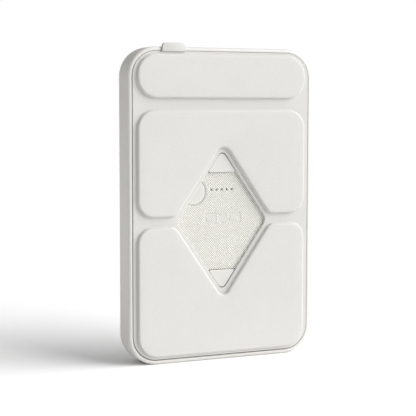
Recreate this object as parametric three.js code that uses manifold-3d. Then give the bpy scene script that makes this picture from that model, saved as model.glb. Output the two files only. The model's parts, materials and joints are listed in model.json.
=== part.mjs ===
// A magnetic power bank with a fold-out stand cover, standing on its bottom edge.
// Millimetres. X runs to the right across the cover side, Y runs from the cover side to the phone side, Z up.
// The origin is the middle of the bottom edge. Every piece is its own named mesh.
import * as THREE from "three";
import { mergeVertices } from "three/addons/utils/BufferGeometryUtils.js";
import Module from "manifold-3d";

const wasm = await Module();
wasm.setup();

// ---------- Driving dimensions ----------
const bodyWidth = 67;
const bodyHeight = 105;
const bodyDepth = 11.4; // from the rim round the cover to the face of the phone side
const phonePadProud = 0.2; // the soft pad stands this far out of the phone side
const panelPuff = 1.3; // the raised panels stand this far out of the cover's flat
const cornerRadius = 9.8;
const rimWidth = 1.27; // width of the rim round the recess for the cover
const rimFillet = 0.9;
const phoneSideFillet = 3;
const sideWall = 1.5;
const floorThickness = 1; // the recess floor, between the cover and the inside
const recessDepth = 1.4;

const coverGap = 0.3; // between the cover's edge and the rim
const flangeDrop = 0.1; // the cover's flat lies this far under the rim
const skinThickness = 0.55;
const liningThickness = 0.4;
const layerGap = 0.15; // between the glued layers of the cover
const panelBoardThickness = 0.8;
const panelSkinOverBoard = 0.75;
const panelEdgeRound = 0.6;
const panelSideMargin = 1.38; // from the cover's edge to a raised panel
const panelEndMargin = 0.95; // the same at the top and bottom ends
const boardInset = 1.8; // from a raised panel's outline to its stiffener

const lowerCreaseHeight = 47.4; // middle of the crease between lower and middle panels
const topSectionHeight = 17.13; // from the middle of the upper crease to the cover's top edge
const lowerCreaseWidth = 3.45; // flat strip left between the raised panels
const upperCreaseWidth = 3.9;
const creaseGap = 0.3; // between the solids on the two sides of a crease

const windowBelowCrease = 0.15; // the window's middle lies this far under the lower crease
const windowHalfWidth = 16.6; // to the sharp corners of the rhombus
const windowHalfHeight = 24.1;
const windowSideRound = 3;
const windowEndRound = 1.75;
const windowMargin = 1.45; // flat strip between the window and the raised panels

const insertSideMargin = 1.4; // the textured insert reaches this far past the window's corners
const insertEndMargin = 2.4;
const insertRound = 4;
const insertLip = 1; // its glue flange behind the recess floor
const insertLipThickness = 0.4;
const insertGap = 0.2;

const standPadHeight = 6.5;
const standPadProud = 0.9;
const standPadSeat = 0.35; // depth of the pad's pocket in the insert
const standPadGap = 0.2;

const buttonRadius = 4.35;
const buttonX = -10.1;
const buttonRise = 9.8; // above the window's middle
const buttonGap = 0.2;
const buttonTravel = 0.35;

const lightCount = 5;
const lightPitch = 1.86;
const lightRise = 10.4; // above the window's middle
const lightPegRadius = 0.33;

const tabWidth = 8.5;
const tabX = -17.75;
const tabRise = 1.3; // above the body's top edge
const tabThickness = 0.55;
const tabHookDepth = 0.45; // how far the tab's end turns back over the rim

const batterySideGap = 2.5; // from the side wall to the cell
const batteryHeight = 44.6;
const batteryThickness = 4.7;
const boardSideGap = 2;
const boardTopGap = 6.3;
const boardThickness = 0.8;
const protectionBoardWidth = 44;
const protectionBoardHeight = 4;

const portBelowTop = 30;
const portShellWidth = 8.94; // the receptacle's long side, along Z
const portShellThickness = 3.26;
const portShellLength = 7.35;
const portShellWall = 0.3;
const portGap = 0.3;

const magnetCount = 8;
const magnetRingOuter = 27.2;
const magnetRingInner = 23.2;
const magnetThickness = 0.85;
const ringGapAngle = 0.36; // opening at the top of the ring for the coil's leads
const coilOuter = 21;
const coilInner = 10;
const ferriteRadius = 22.3;
const sheetThickness = 0.4;
const ringBelowTop = 35;
const leadDiameter = 1.1;
const coilLeadDiameter = 0.7;

// ---------- Levels along Y, worked out from the driving dimensions ----------
const totalDepth = bodyDepth + phonePadProud + panelPuff - flangeDrop;
const rimY = -totalDepth / 2 + panelPuff - flangeDrop; // front of the rim
const phoneFaceY = rimY + bodyDepth;
const recessY = rimY + recessDepth; // face of the recess floor
const insideY = recessY + floorThickness; // inner face of the recess floor
const flangeY = rimY + flangeDrop; // front of the cover's flat
const skinBackY = flangeY + skinThickness;
const liningFrontY = skinBackY + layerGap;
const liningBackY = liningFrontY + liningThickness;
const puffY = flangeY - panelPuff; // front of the raised panels
const pocketY = puffY + panelSkinOverBoard;

const phonePlateThickness = 1.15;
const phonePlateY = phoneFaceY - phonePlateThickness;
const ledgeThickness = 0.8;
const plateGap = 0.3;
const mouthInset = phoneSideFillet + 0.8;
const ledgeInset = mouthInset + 1.4;
const ledgeY = phonePlateY - 0.05 - ledgeThickness;
const magnetY = phonePlateY - 0.2 - magnetThickness; // front of the magnets and the coil
const sheetY = magnetY - 0.15 - sheetThickness; // front of the ferrite and the steel ring
const batteryY = insideY + 0.8;
const batteryBackY = batteryY + batteryThickness;
const boardY = insideY + 2.6; // front of the main board
const boardBackY = boardY + boardThickness;
const solderGap = 0.05;

const coverWidth = bodyWidth - 2 * rimWidth - 2 * coverGap;
const coverBottom = rimWidth + coverGap;
const coverTop = bodyHeight - rimWidth - coverGap;
const coverRadius = cornerRadius - rimWidth - coverGap;
const upperCreaseHeight = coverTop - topSectionHeight;
const windowCentreHeight = lowerCreaseHeight - windowBelowCrease;
const buttonHeight = windowCentreHeight + buttonRise;
const lightHeight = windowCentreHeight + lightRise;
const portHeight = bodyHeight - portBelowTop;
const ringCentreHeight = bodyHeight - ringBelowTop;
const arcSteps = 5;

// ---------- Finishes ----------
const finish = (color, roughness, metalness = 0) =>
  new THREE.MeshStandardMaterial({ color, roughness, metalness });
const finishes = {
  shell: finish(0xe4e2dc, 0.42),
  cover: finish(0xdfded9, 0.75),
  lining: finish(0xd2d0ca, 0.9),
  stiffener: finish(0xb9b29a, 0.8),
  insert: finish(0xe0dfd8, 0.5),
  pad: finish(0xdcdcd4, 0.5),
  button: finish(0xd8d9d0, 0.45),
  guide: finish(0xf2f2ee, 0.3),
  phonePad: finish(0xd9d8d3, 0.8),
  battery: finish(0xb8bcc0, 0.45, 0.3),
  foam: finish(0x3a3a3c, 0.95),
  board: finish(0x1f5b3c, 0.55),
  chip: finish(0x1b1b1d, 0.5),
  steel: finish(0xb4b6b8, 0.35, 0.9),
  magnet: finish(0xc4c6c9, 0.28, 1),
  copper: finish(0xb8683a, 0.38, 0.9),
  ferrite: finish(0x2b2a2c, 0.7),
  graphite: finish(0x3d3f42, 0.5, 0.4),
  ceramic: finish(0xb79a72, 0.5),
  lamp: finish(0xf4efd8, 0.3),
  redWire: finish(0xb1241f, 0.5),
  blackWire: finish(0x18181a, 0.5),
  plastic: finish(0x222225, 0.5),
};

// ---------- Solids ----------
function solidFrom(geometry) {
  const bare = geometry.index ? geometry.toNonIndexed() : geometry.clone();
  bare.deleteAttribute("normal");
  bare.deleteAttribute("uv");
  const merged = mergeVertices(bare, 1e-4);
  return new wasm.Manifold(
    new wasm.Mesh({
      numProp: 3,
      vertProperties: merged.attributes.position.array,
      triVerts: new Uint32Array(merged.index.array),
    }),
  );
}

function geometryFrom(solid) {
  const result = solid.getMesh();
  const points = new Float32Array(result.numVert * 3);
  for (let i = 0; i < result.numVert; i++) {
    points.set(result.vertProperties.subarray(i * result.numProp, i * result.numProp + 3), i * 3);
  }
  const geometry = new THREE.BufferGeometry();
  geometry.setAttribute("position", new THREE.BufferAttribute(points, 3));
  geometry.setIndex(new THREE.BufferAttribute(result.triVerts, 1));
  geometry.computeVertexNormals();
  return geometry;
}

const union = (solids) => solids.reduce((sum, next) => sum.add(next));
const cutAway = (solid, cutters) => cutters.reduce((rest, next) => rest.subtract(next), solid);

// A closed outline from sharp corners [x, z, radius], taken anticlockwise, drawn `inset` inside them.
function roundedOutline(corners, inset = 0) {
  const count = corners.length;
  const at = (i) => new THREE.Vector2(corners[(i + count) % count][0], corners[(i + count) % count][1]);
  const shape = new THREE.Shape();
  for (let i = 0; i < count; i++) {
    const arriving = at(i).sub(at(i - 1)).normalize();
    const leaving = at(i + 1).sub(at(i)).normalize();
    const turn = arriving.cross(leaving);
    const bend = turn / (1 + arriving.dot(leaving)); // tangent of half the turn
    const leftOfArriving = new THREE.Vector2(-arriving.y, arriving.x);
    const corner = at(i).addScaledVector(leftOfArriving, inset).addScaledVector(arriving, -inset * bend);
    const radius = Math.max(corners[i][2] - Math.sign(turn) * inset, 0.2);
    const reach = radius * Math.abs(bend);
    const start = corner.clone().addScaledVector(arriving, -reach);
    const centre = start.clone().addScaledVector(leftOfArriving, Math.sign(turn) * radius);
    const end = corner.clone().addScaledVector(leaving, reach);
    if (i === 0) shape.moveTo(start.x, start.y);
    else shape.lineTo(start.x, start.y);
    const from = Math.atan2(start.y - centre.y, start.x - centre.x);
    const to = Math.atan2(end.y - centre.y, end.x - centre.x);
    shape.absarc(centre.x, centre.y, radius, from, to, turn < 0);
  }
  return shape;
}

function rectangleCorners(left, right, bottom, top, radius) {
  const [lowRadius, highRadius] = Array.isArray(radius) ? radius : [radius, radius];
  return [
    [left, bottom, lowRadius],
    [right, bottom, lowRadius],
    [right, top, highRadius],
    [left, top, highRadius],
  ];
}

const rectangle = (left, right, bottom, top, radius) =>
  roundedOutline(rectangleCorners(left, right, bottom, top, radius));

const bodyOutline = (inset) =>
  roundedOutline(rectangleCorners(-bodyWidth / 2, bodyWidth / 2, 0, bodyHeight, cornerRadius), inset);

function discOutline(x, z, radius) {
  const shape = new THREE.Shape();
  shape.absarc(x, z, radius, 0, 2 * Math.PI, false);
  return shape;
}

// The outline, drawn in X and Z, made solid from y = front to y = back, with its edges rounded.
function slab(outline, front, back, edge = 0, steps = arcSteps, edgeSteps = 2) {
  const settings = { depth: back - front - 2 * edge, curveSegments: steps, bevelEnabled: edge > 0 };
  Object.assign(settings, { bevelThickness: edge, bevelSize: edge, bevelOffset: -edge });
  settings.bevelSegments = edgeSteps;
  const geometry = new THREE.ExtrudeGeometry(outline, settings);
  geometry.rotateX(Math.PI / 2);
  geometry.translate(0, back - edge, 0);
  return solidFrom(geometry);
}

const block = (left, right, front, back, bottom, top) => {
  const geometry = new THREE.BoxGeometry(right - left, back - front, top - bottom);
  geometry.translate((left + right) / 2, (front + back) / 2, (bottom + top) / 2);
  return solidFrom(geometry);
};

const disc = (x, z, radius, front, back, steps = 20) =>
  slab(discOutline(x, z, radius), front, back, 0, steps);

// An outline drawn in Y and Z, made solid from x = left to x = right.
function sideSlab(outline, left, right) {
  const geometry = new THREE.ExtrudeGeometry(outline, {
    depth: right - left,
    curveSegments: arcSteps,
    bevelEnabled: false,
  });
  geometry.rotateX(Math.PI / 2);
  geometry.rotateZ(Math.PI / 2);
  geometry.translate(left, 0, 0);
  return solidFrom(geometry);
}

// A round lead through the given [x, y, z] points.
function lead(points, diameter, steps) {
  const path = new THREE.CatmullRomCurve3(points.map((point) => new THREE.Vector3(...point)));
  const section = new THREE.Shape();
  section.absarc(0, 0, diameter / 2, 0, 2 * Math.PI, false);
  const settings = { steps, curveSegments: 3, extrudePath: path, bevelEnabled: false };
  return solidFrom(new THREE.ExtrudeGeometry(section, settings));
}

const group = new THREE.Group();

function addPiece(name, solid, material) {
  const piece = new THREE.Mesh(geometryFrom(solid), material);
  piece.name = name;
  group.add(piece);
}

// ---------- The window and the raised panels ----------
function windowOutline(outset = 0) {
  const corners = [
    [0, windowCentreHeight - windowHalfHeight, windowEndRound],
    [windowHalfWidth, windowCentreHeight, windowSideRound],
    [0, windowCentreHeight + windowHalfHeight, windowEndRound],
    [-windowHalfWidth, windowCentreHeight, windowSideRound],
  ];
  return roundedOutline(corners, -outset);
}

const windowSlope = Math.hypot(windowHalfWidth, windowHalfHeight);
// The notch in a raised panel runs parallel to the window's edge at the window margin.
const notchTipRise = windowHalfHeight + (windowMargin * windowSlope) / windowHalfWidth;
const notchHalfWidthAt = (height) =>
  ((notchTipRise - Math.abs(height - windowCentreHeight)) * windowHalfWidth) / windowHalfHeight;
const panelHalfWidth = coverWidth / 2 - panelSideMargin;
const upperNotchTipRound = 3.2;
const lowerNotchTipRound = 2.4;
const notchSideRound = 3;

const topPanel = {
  bottom: upperCreaseHeight + upperCreaseWidth / 2,
  top: coverTop - panelEndMargin,
  corners() {
    return rectangleCorners(-panelHalfWidth, panelHalfWidth, this.bottom, this.top, [6.8, 6.7]);
  },
};

const middlePanel = {
  bottom: lowerCreaseHeight + lowerCreaseWidth / 2,
  top: upperCreaseHeight - upperCreaseWidth / 2,
  corners() {
    const side = notchHalfWidthAt(this.bottom);
    return [
      [-panelHalfWidth, this.bottom, 5.5],
      [-side, this.bottom, notchSideRound],
      [0, windowCentreHeight + notchTipRise, upperNotchTipRound],
      [side, this.bottom, notchSideRound],
      [panelHalfWidth, this.bottom, 5.5],
      [panelHalfWidth, this.top, 6],
      [-panelHalfWidth, this.top, 6],
    ];
  },
};

const lowerPanel = {
  bottom: coverBottom + panelEndMargin,
  top: lowerCreaseHeight - lowerCreaseWidth / 2,
  corners() {
    const side = notchHalfWidthAt(this.top);
    return [
      [-panelHalfWidth, this.bottom, 7],
      [panelHalfWidth, this.bottom, 7],
      [panelHalfWidth, this.top, 5],
      [side, this.top, notchSideRound],
      [0, windowCentreHeight - notchTipRise, lowerNotchTipRound],
      [-side, this.top, notchSideRound],
      [-panelHalfWidth, this.top, 5],
    ];
  },
};

// ---------- The fold-out cover ----------
const coverOutline = rectangle(-coverWidth / 2, coverWidth / 2, coverBottom, coverTop, coverRadius);

// A flat sheet of the cover between two heights, with the window cut out.
function coverSheet(front, back, bottom, top) {
  const sheet = slab(coverOutline, front, back);
  const band = block(-bodyWidth, bodyWidth, front - 1, back + 1, bottom, top);
  return sheet.intersect(band).subtract(slab(windowOutline(), front - 1, back + 1));
}

function panelSkin(panel, bottom, top) {
  const raised = slab(roundedOutline(panel.corners()), puffY, skinBackY, panelEdgeRound);
  const level = coverSheet(flangeY, skinBackY, bottom, top);
  const pocket = slab(roundedOutline(panel.corners(), boardInset - layerGap), pocketY, skinBackY + 1);
  const trimmed = raised.intersect(block(-bodyWidth, bodyWidth, puffY - 1, skinBackY, bottom, top));
  return trimmed.add(level).subtract(pocket);
}

const panelBoardFront = pocketY + 0.1;
const panelBoardBack = panelBoardFront + panelBoardThickness;

const coverMagnet = { x: 23.2, halfWidth: 3.8, halfHeight: 2.6 };
const coverMagnetHeight = (topPanel.bottom + topPanel.top) / 2;

function coverMagnetBlock(side, gap = 0) {
  const { x, halfWidth, halfHeight } = coverMagnet;
  const front = panelBoardFront - gap;
  const back = panelBoardBack + gap;
  const [left, right] = [side * x - halfWidth - gap, side * x + halfWidth + gap];
  const [low, high] = [coverMagnetHeight - halfHeight - gap, coverMagnetHeight + halfHeight + gap];
  return block(left, right, front, back, low, high);
}

function pullTab() {
  const [left, right] = [tabX - tabWidth / 2, tabX + tabWidth / 2];
  const front = rimY - layerGap - tabThickness;
  const back = rimY - layerGap;
  const top = bodyHeight + tabRise;
  const tongue = slab(rectangle(left, right, coverTop - 0.8, top, [0.3, 0.9]), front, back);
  const hookBottom = bodyHeight + 0.3;
  const hook = slab(rectangle(left, right, hookBottom, top, [0.2, 0.7]), front, back + tabHookDepth);
  return tongue.add(hook);
}

function addCover() {
  const parts = [
    ["lower", lowerPanel, coverBottom - 1, lowerCreaseHeight - creaseGap / 2],
    ["middle", middlePanel, lowerCreaseHeight + creaseGap / 2, upperCreaseHeight - creaseGap / 2],
    ["top", topPanel, upperCreaseHeight + creaseGap / 2, coverTop + 1],
  ];
  for (const [name, panel, bottom, top] of parts) {
    let stiffener = slab(roundedOutline(panel.corners(), boardInset), panelBoardFront, panelBoardBack);
    if (name === "top") {
      stiffener = cutAway(stiffener, [coverMagnetBlock(-1, layerGap), coverMagnetBlock(1, layerGap)]);
    }
    addPiece(`${name}_cover_skin`, panelSkin(panel, bottom, top), finishes.cover);
    addPiece(`${name}_cover_stiffener`, stiffener, finishes.stiffener);
    addPiece(`${name}_cover_lining`, coverSheet(liningFrontY, liningBackY, bottom, top), finishes.lining);
  }
  addPiece("left_cover_magnet", coverMagnetBlock(-1), finishes.magnet);
  addPiece("right_cover_magnet", coverMagnetBlock(1), finishes.magnet);
  addPiece("pull_tab", pullTab(), finishes.cover);
}

// ---------- The body ----------
const insertHalfWidth = windowHalfWidth + insertSideMargin;
const insertBottom = windowCentreHeight - windowHalfHeight - insertEndMargin;
const insertTop = windowCentreHeight + windowHalfHeight + insertEndMargin;
const screwX = 24;
const screwBelowTop = 17.5;
const screwHeight = bodyHeight - screwBelowTop;
const screwRadius = 0.6;
const screwHeadRadius = 1.4;
const bossRadius = 2.2;
const portMiddleY = boardY + boardThickness / 2;
const portLeft = bodyWidth / 2 - 0.9 - portShellLength;
const portRight = portLeft + portShellLength;

const insertOutline = (outset) =>
  rectangle(
    -insertHalfWidth - outset,
    insertHalfWidth + outset,
    insertBottom - outset,
    insertTop + outset,
    insertRound + outset,
  );

// The receptacle's stadium outline in Y and Z, grown by `outset`.
const portOutline = (outset) => {
  const halfThickness = portShellThickness / 2 + outset;
  const halfLength = portShellWidth / 2 + outset;
  return rectangle(
    portMiddleY - halfThickness,
    portMiddleY + halfThickness,
    portHeight - halfLength,
    portHeight + halfLength,
    halfThickness - 0.01,
  );
};

const boss = (side) => disc(side * screwX, screwHeight, bossRadius, insideY - 0.2, boardY - layerGap);
const bossHole = (side) => disc(side * screwX, screwHeight, screwRadius + 0.15, insideY + 0.3, boardY, 12);

function mainShell() {
  const reach = 12;
  const rounded = slab(bodyOutline(0), rimY, rimY + bodyDepth + reach, rimFillet, arcSteps, 2);
  const backRounded = slab(bodyOutline(0), rimY - reach, phoneFaceY, phoneSideFillet, arcSteps, 4);
  const outside = rounded.intersect(backRounded);
  const recess = slab(bodyOutline(rimWidth), rimY - 1, recessY);
  const cavity = slab(bodyOutline(sideWall), insideY, ledgeY);
  const throat = slab(bodyOutline(ledgeInset), ledgeY - 0.5, phoneFaceY + 1);
  const mouth = slab(bodyOutline(mouthInset), ledgeY + ledgeThickness, phoneFaceY + 1);
  const insertHole = slab(insertOutline(insertGap), recessY - 1, insideY + 1);
  const portHole = sideSlab(portOutline(portGap), portLeft, bodyWidth / 2 + 1);
  const hollow = cutAway(outside, [recess, cavity, throat, mouth, insertHole, portHole]);
  return cutAway(union([hollow, boss(-1), boss(1)]), [bossHole(-1), bossHole(1)]);
}

// One snap hook of the phone side cover, reaching through the throat and under the ledge.
function snapHook(side, height) {
  const halfLength = 3;
  const outer = bodyWidth / 2 - ledgeInset - 0.3;
  const span = (near, far) => (side > 0 ? [near, far] : [-far, -near]);
  const [armLeft, armRight] = span(outer - 0.8, outer);
  const [barbLeft, barbRight] = span(outer - 0.8, outer + 0.9);
  const hookEnd = ledgeY - 0.7;
  const arm = block(armLeft, armRight, hookEnd, phonePlateY + 0.1, height - halfLength, height + halfLength);
  const low = height - halfLength;
  const barb = block(barbLeft, barbRight, hookEnd, ledgeY - 0.2, low, low + 2 * halfLength);
  return arm.add(barb);
}

const hookHeights = [20, 44, bodyHeight - 15];
const padInset = mouthInset + plateGap + 1.2;
const padSeatY = phonePlateY + 0.6;

function phoneSideCover() {
  const plate = slab(bodyOutline(mouthInset + plateGap), phonePlateY, phoneFaceY);
  const hooks = hookHeights.flatMap((height) => [snapHook(-1, height), snapHook(1, height)]);
  const seat = slab(bodyOutline(padInset - 0.2), padSeatY, phoneFaceY + 1);
  return union([plate, ...hooks]).subtract(seat);
}

// A triangular pad in the window's upper (+1) or lower (-1) corner; its flat end is the stand's ledge.
function standPadOutline(side, outset) {
  const tip = windowHalfHeight - (standPadGap * windowSlope) / windowHalfWidth;
  const crown = windowEndRound * (windowSlope / windowHalfWidth - 1);
  const base = tip - crown - standPadHeight;
  const halfBase = ((tip - base) * windowHalfWidth) / windowHalfHeight;
  const height = (rise) => windowCentreHeight + side * rise;
  const corners = [
    [0, height(tip), windowEndRound],
    [-side * halfBase, height(base), 0.6],
    [side * halfBase, height(base), 0.6],
  ];
  return roundedOutline(corners, -outset);
}

function lightPositions() {
  return Array.from({ length: lightCount }, (_, i) => (i - (lightCount - 1) / 2) * lightPitch);
}

function texturedInsert() {
  const face = slab(insertOutline(0), recessY, insideY + 0.1, 0, 3);
  const lipFront = insideY + 0.1;
  const lip = slab(insertOutline(insertLip), lipFront, lipFront + insertLipThickness);
  const cutters = lightPositions().map((x) =>
    disc(x, lightHeight, lightPegRadius + 0.12, recessY - 1, insideY + 2, 8),
  );
  cutters.push(disc(buttonX, buttonHeight, buttonRadius + buttonGap, recessY - 1, insideY + 2));
  cutters.push(slab(standPadOutline(1, 0.15), recessY - 1, recessY + standPadSeat));
  cutters.push(slab(standPadOutline(-1, 0.15), recessY - 1, recessY + standPadSeat));
  return cutAway(face.add(lip), cutters);
}

const standPad = (side) =>
  slab(standPadOutline(side, 0), recessY - standPadProud, recessY + standPadSeat - 0.05, 0.12, 5, 1);

function addBody() {
  addPiece("main_shell", mainShell(), finishes.shell);
  addPiece("phone_side_cover", phoneSideCover(), finishes.shell);
  const phonePad = slab(bodyOutline(padInset), padSeatY + 0.05, phoneFaceY + phonePadProud, 0.1, arcSteps, 1);
  addPiece("phone_pad", phonePad, finishes.phonePad);
  addPiece("textured_insert", texturedInsert(), finishes.insert);
  addPiece("upper_stand_pad", standPad(1), finishes.pad);
  addPiece("lower_stand_pad", standPad(-1), finishes.pad);
}

// ---------- The power button and the lights ----------
const insertBackY = insideY + 0.1 + insertLipThickness;
const switchSize = 3.6;
const switchY = boardY - solderGap - 0.95;

function powerButton() {
  const retainerFront = insertBackY + 0.15;
  const retainerBack = retainerFront + 0.4;
  const cap = slab(discOutline(buttonX, buttonHeight, buttonRadius), recessY, retainerBack, 0.1, 20, 1);
  const retainer = disc(buttonX, buttonHeight, buttonRadius + 0.6, retainerFront, retainerBack);
  const stem = disc(buttonX, buttonHeight, 1, retainerBack - 0.1, switchY - 0.35, 16);
  return union([cap, retainer, stem]);
}

function lightGuide() {
  const guideBack = boardY - 0.75;
  const reach = ((lightCount - 1) / 2) * lightPitch + 0.9;
  const bar = block(-reach, reach, guideBack - 0.6, guideBack, lightHeight - 0.6, lightHeight + 0.6);
  const peg = (x) => disc(x, lightHeight, lightPegRadius, recessY + 0.05, guideBack - 0.3, 8);
  return union([bar, ...lightPositions().map(peg)]);
}

function addControls() {
  addPiece("power_button", powerButton(), finishes.button);
  const plunger = disc(buttonX, buttonHeight, 0.8, switchY - 0.2, switchY + 0.5, 12);
  addPiece("switch_plunger", plunger, finishes.plastic);
  const [left, low] = [buttonX - switchSize / 2, buttonHeight - switchSize / 2];
  const housing = block(left, left + switchSize, switchY, boardY - solderGap, low, low + switchSize);
  const bore = disc(buttonX, buttonHeight, 1, switchY - 1, boardY + 1, 16);
  addPiece("switch_housing", housing.subtract(bore), finishes.steel);
  addPiece("light_guide", lightGuide(), finishes.guide);
  lightPositions().forEach((x, i) => {
    const back = boardY - solderGap;
    const lamp = block(x - 0.5, x + 0.5, back - 0.5, back, lightHeight - 0.3, lightHeight + 0.3);
    addPiece(`light_${i + 1}`, lamp, finishes.lamp);
  });
}

// ---------- Battery ----------
const batteryBottom = sideWall + 1.9;
const batteryTop = batteryBottom + batteryHeight;
const protectionBoardBottom = batteryTop + 0.4;
const protectionBoardY = batteryY + 2;

function addBattery() {
  const half = bodyWidth / 2 - sideWall - batterySideGap;
  const cell = rectangle(-half, half, batteryBottom, batteryTop, 1.5);
  addPiece("battery_cell", slab(cell, batteryY, batteryBackY, 0.6, 4, 2), finishes.battery);
  const foamBack = batteryY - 0.1;
  const foam = block(-half + 4, half - 4, insideY + 0.1, foamBack, batteryBottom + 1, insertBottom - 1.6);
  addPiece("battery_foam_pad", foam, finishes.foam);
  const sheet = rectangle(-half + 0.5, half - 0.5, batteryBottom + 0.6, batteryTop - 1, 1.5);
  const sheetFront = batteryBackY + 0.15;
  addPiece("heat_spreader", slab(sheet, sheetFront, sheetFront + 0.2, 0, 4), finishes.graphite);
  const boardHalf = protectionBoardWidth / 2;
  const boardTop = protectionBoardBottom + protectionBoardHeight;
  const boardEnd = protectionBoardY + 1;
  addPiece(
    "protection_board",
    block(-boardHalf, boardHalf, protectionBoardY, boardEnd, protectionBoardBottom, boardTop),
    finishes.board,
  );
}

// The two battery leads rise from the protection board to the main board.
function addBatteryLeads() {
  const start = protectionBoardBottom + protectionBoardHeight / 2;
  const out = protectionBoardY + 1 + leadDiameter / 2 + 0.1;
  const end = boardBackY + leadDiameter / 2 + 0.1;
  const route = (x) => [
    [x, out, start],
    [x, out + 0.15, start + 2.5],
    [x, end + 0.1, start + 5],
    [x, end, start + 8],
  ];
  addPiece("positive_lead", lead(route(16), leadDiameter, 8), finishes.redWire);
  addPiece("negative_lead", lead(route(19), leadDiameter, 8), finishes.blackWire);
}

// ---------- Main board ----------
const boardBottom = protectionBoardBottom + protectionBoardHeight + 0.8;
const boardTop = bodyHeight - sideWall - boardTopGap;

function mainBoard() {
  const half = bodyWidth / 2 - sideWall - boardSideGap;
  const plate = slab(rectangle(-half, half, boardBottom, boardTop, 6), boardY, boardBackY);
  const [before, behind] = [boardY - 1, boardBackY + 1];
  const halfPort = portShellWidth / 2 + portGap;
  const [low, high] = [portHeight - halfPort, portHeight + halfPort];
  const notch = block(portLeft - portGap, bodyWidth, before, behind, low, high);
  const hole = (side) => disc(side * screwX, screwHeight, screwRadius + 0.3, before, behind, 12);
  return cutAway(plate, [notch, hole(-1), hole(1)]);
}

function boardScrew(side) {
  const headFront = boardBackY + solderGap;
  const head = disc(side * screwX, screwHeight, screwHeadRadius, headFront, headFront + 0.6, 20);
  const shank = disc(side * screwX, screwHeight, screwRadius, insideY + 0.7, headFront + 0.1, 12);
  const [left, right] = [side * screwX - 1, side * screwX + 1];
  const slot = block(left, right, headFront + 0.3, headFront + 1, screwHeight - 0.2, screwHeight + 0.2);
  return head.add(shank).subtract(slot);
}

function portShell() {
  const tube = sideSlab(portOutline(0), portLeft, portRight);
  return tube.subtract(sideSlab(portOutline(-portShellWall), portLeft + 0.4, portRight + 1));
}

// A part soldered to the back of the main board, centred at x, z.
function boardPart(name, x, z, width, height, thickness, material, round = 0.2) {
  const front = boardBackY + solderGap;
  const outline = rectangle(x - width / 2, x + width / 2, z - height / 2, z + height / 2, round);
  addPiece(name, slab(outline, front, front + thickness, 0, 3), material);
}

function addBoard() {
  addPiece("main_board", mainBoard(), finishes.board);
  addPiece("left_board_screw", boardScrew(-1), finishes.steel);
  addPiece("right_board_screw", boardScrew(1), finishes.steel);
  addPiece("usb_c_shell", portShell(), finishes.steel);
  const tongueHalf = 3.3;
  const [low, high] = [portHeight - tongueHalf, portHeight + tongueHalf];
  const [front, back] = [portMiddleY - 0.35, portMiddleY + 0.35];
  addPiece("usb_c_tongue", block(portLeft + 0.7, portRight - 0.9, front, back, low, high), finishes.plastic);
  boardPart("charger_chip", portLeft - 13, portHeight + 1, 5, 5, 0.9, finishes.chip);
  boardPart("wireless_chip", -8, portHeight + 5, 7, 7, 0.9, finishes.chip);
  boardPart("inductor", portLeft - 14, portHeight - 9, 6, 6, 2, finishes.ferrite, 1);
  boardPart("left_capacitor", -18, portHeight - 5, 3.2, 2.5, 1.6, finishes.ceramic);
  boardPart("right_capacitor", portLeft - 5, portHeight - 9, 3.2, 2.5, 1.6, finishes.ceramic);
}

// ---------- Wireless charging and the magnets ----------
// A flat arc of a ring about the ring's centre, from one angle to another, in radians from straight up.
function arcPlate(inner, outer, from, to, front, thickness, steps) {
  const shape = new THREE.Shape();
  const top = Math.PI / 2;
  shape.absarc(0, ringCentreHeight, outer, top - from, top - to, true);
  shape.absarc(0, ringCentreHeight, inner, top - to, top - from, false);
  shape.closePath();
  return slab(shape, front, front + thickness, 0, steps);
}

function coil() {
  const shape = discOutline(0, ringCentreHeight, coilOuter);
  const hole = new THREE.Path();
  hole.absarc(0, ringCentreHeight, coilInner, 0, 2 * Math.PI, false);
  shape.holes.push(hole);
  return slab(shape, magnetY, magnetY + magnetThickness, 0, 24);
}

function addMagnets() {
  const start = ringGapAngle / 2;
  const pitch = (2 * Math.PI - ringGapAngle) / magnetCount;
  const gap = 0.3 / magnetRingInner;
  for (let i = 0; i < magnetCount; i++) {
    const from = start + i * pitch + gap / 2;
    const to = from + pitch - gap;
    const arc = arcPlate(magnetRingInner, magnetRingOuter, from, to, magnetY, magnetThickness, 3);
    addPiece(`magnet_${i + 1}`, arc, finishes.magnet);
  }
  const end = 2 * Math.PI - start;
  const [inner, outer] = [magnetRingInner - 0.3, magnetRingOuter + 0.3];
  const ring = arcPlate(inner, outer, start, end, sheetY, sheetThickness, 28);
  addPiece("steel_ring", ring, finishes.steel);
  const alignmentTop = ringCentreHeight - magnetRingOuter - 4.8;
  const alignment = rectangle(-2, 2, alignmentTop - 20, alignmentTop, 0.5);
  addPiece("alignment_magnet", slab(alignment, magnetY, magnetY + magnetThickness, 0, 3), finishes.magnet);
}

function addCoil() {
  addPiece("charging_coil", coil(), finishes.copper);
  const sheet = disc(0, ringCentreHeight, ferriteRadius, sheetY, sheetY + sheetThickness, 24);
  addPiece("ferrite_sheet", sheet, finishes.ferrite);
  const coilEnd = ringCentreHeight + coilOuter + coilLeadDiameter / 2 + 0.1;
  const middle = magnetY + magnetThickness / 2;
  const board = boardBackY + 0.3;
  for (const [name, x] of [["left_coil_lead", -1.4], ["right_coil_lead", 1.4]]) {
    const route = [
      [x, middle, coilEnd],
      [x, middle, coilEnd + 2.2],
      [x, middle - 1.2, coilEnd + 3.4],
      [x, board + 0.6, coilEnd + 3.6],
      [x, board, coilEnd + 3.6],
    ];
    addPiece(name, lead(route, coilLeadDiameter, 8), finishes.copper);
  }
}

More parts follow.
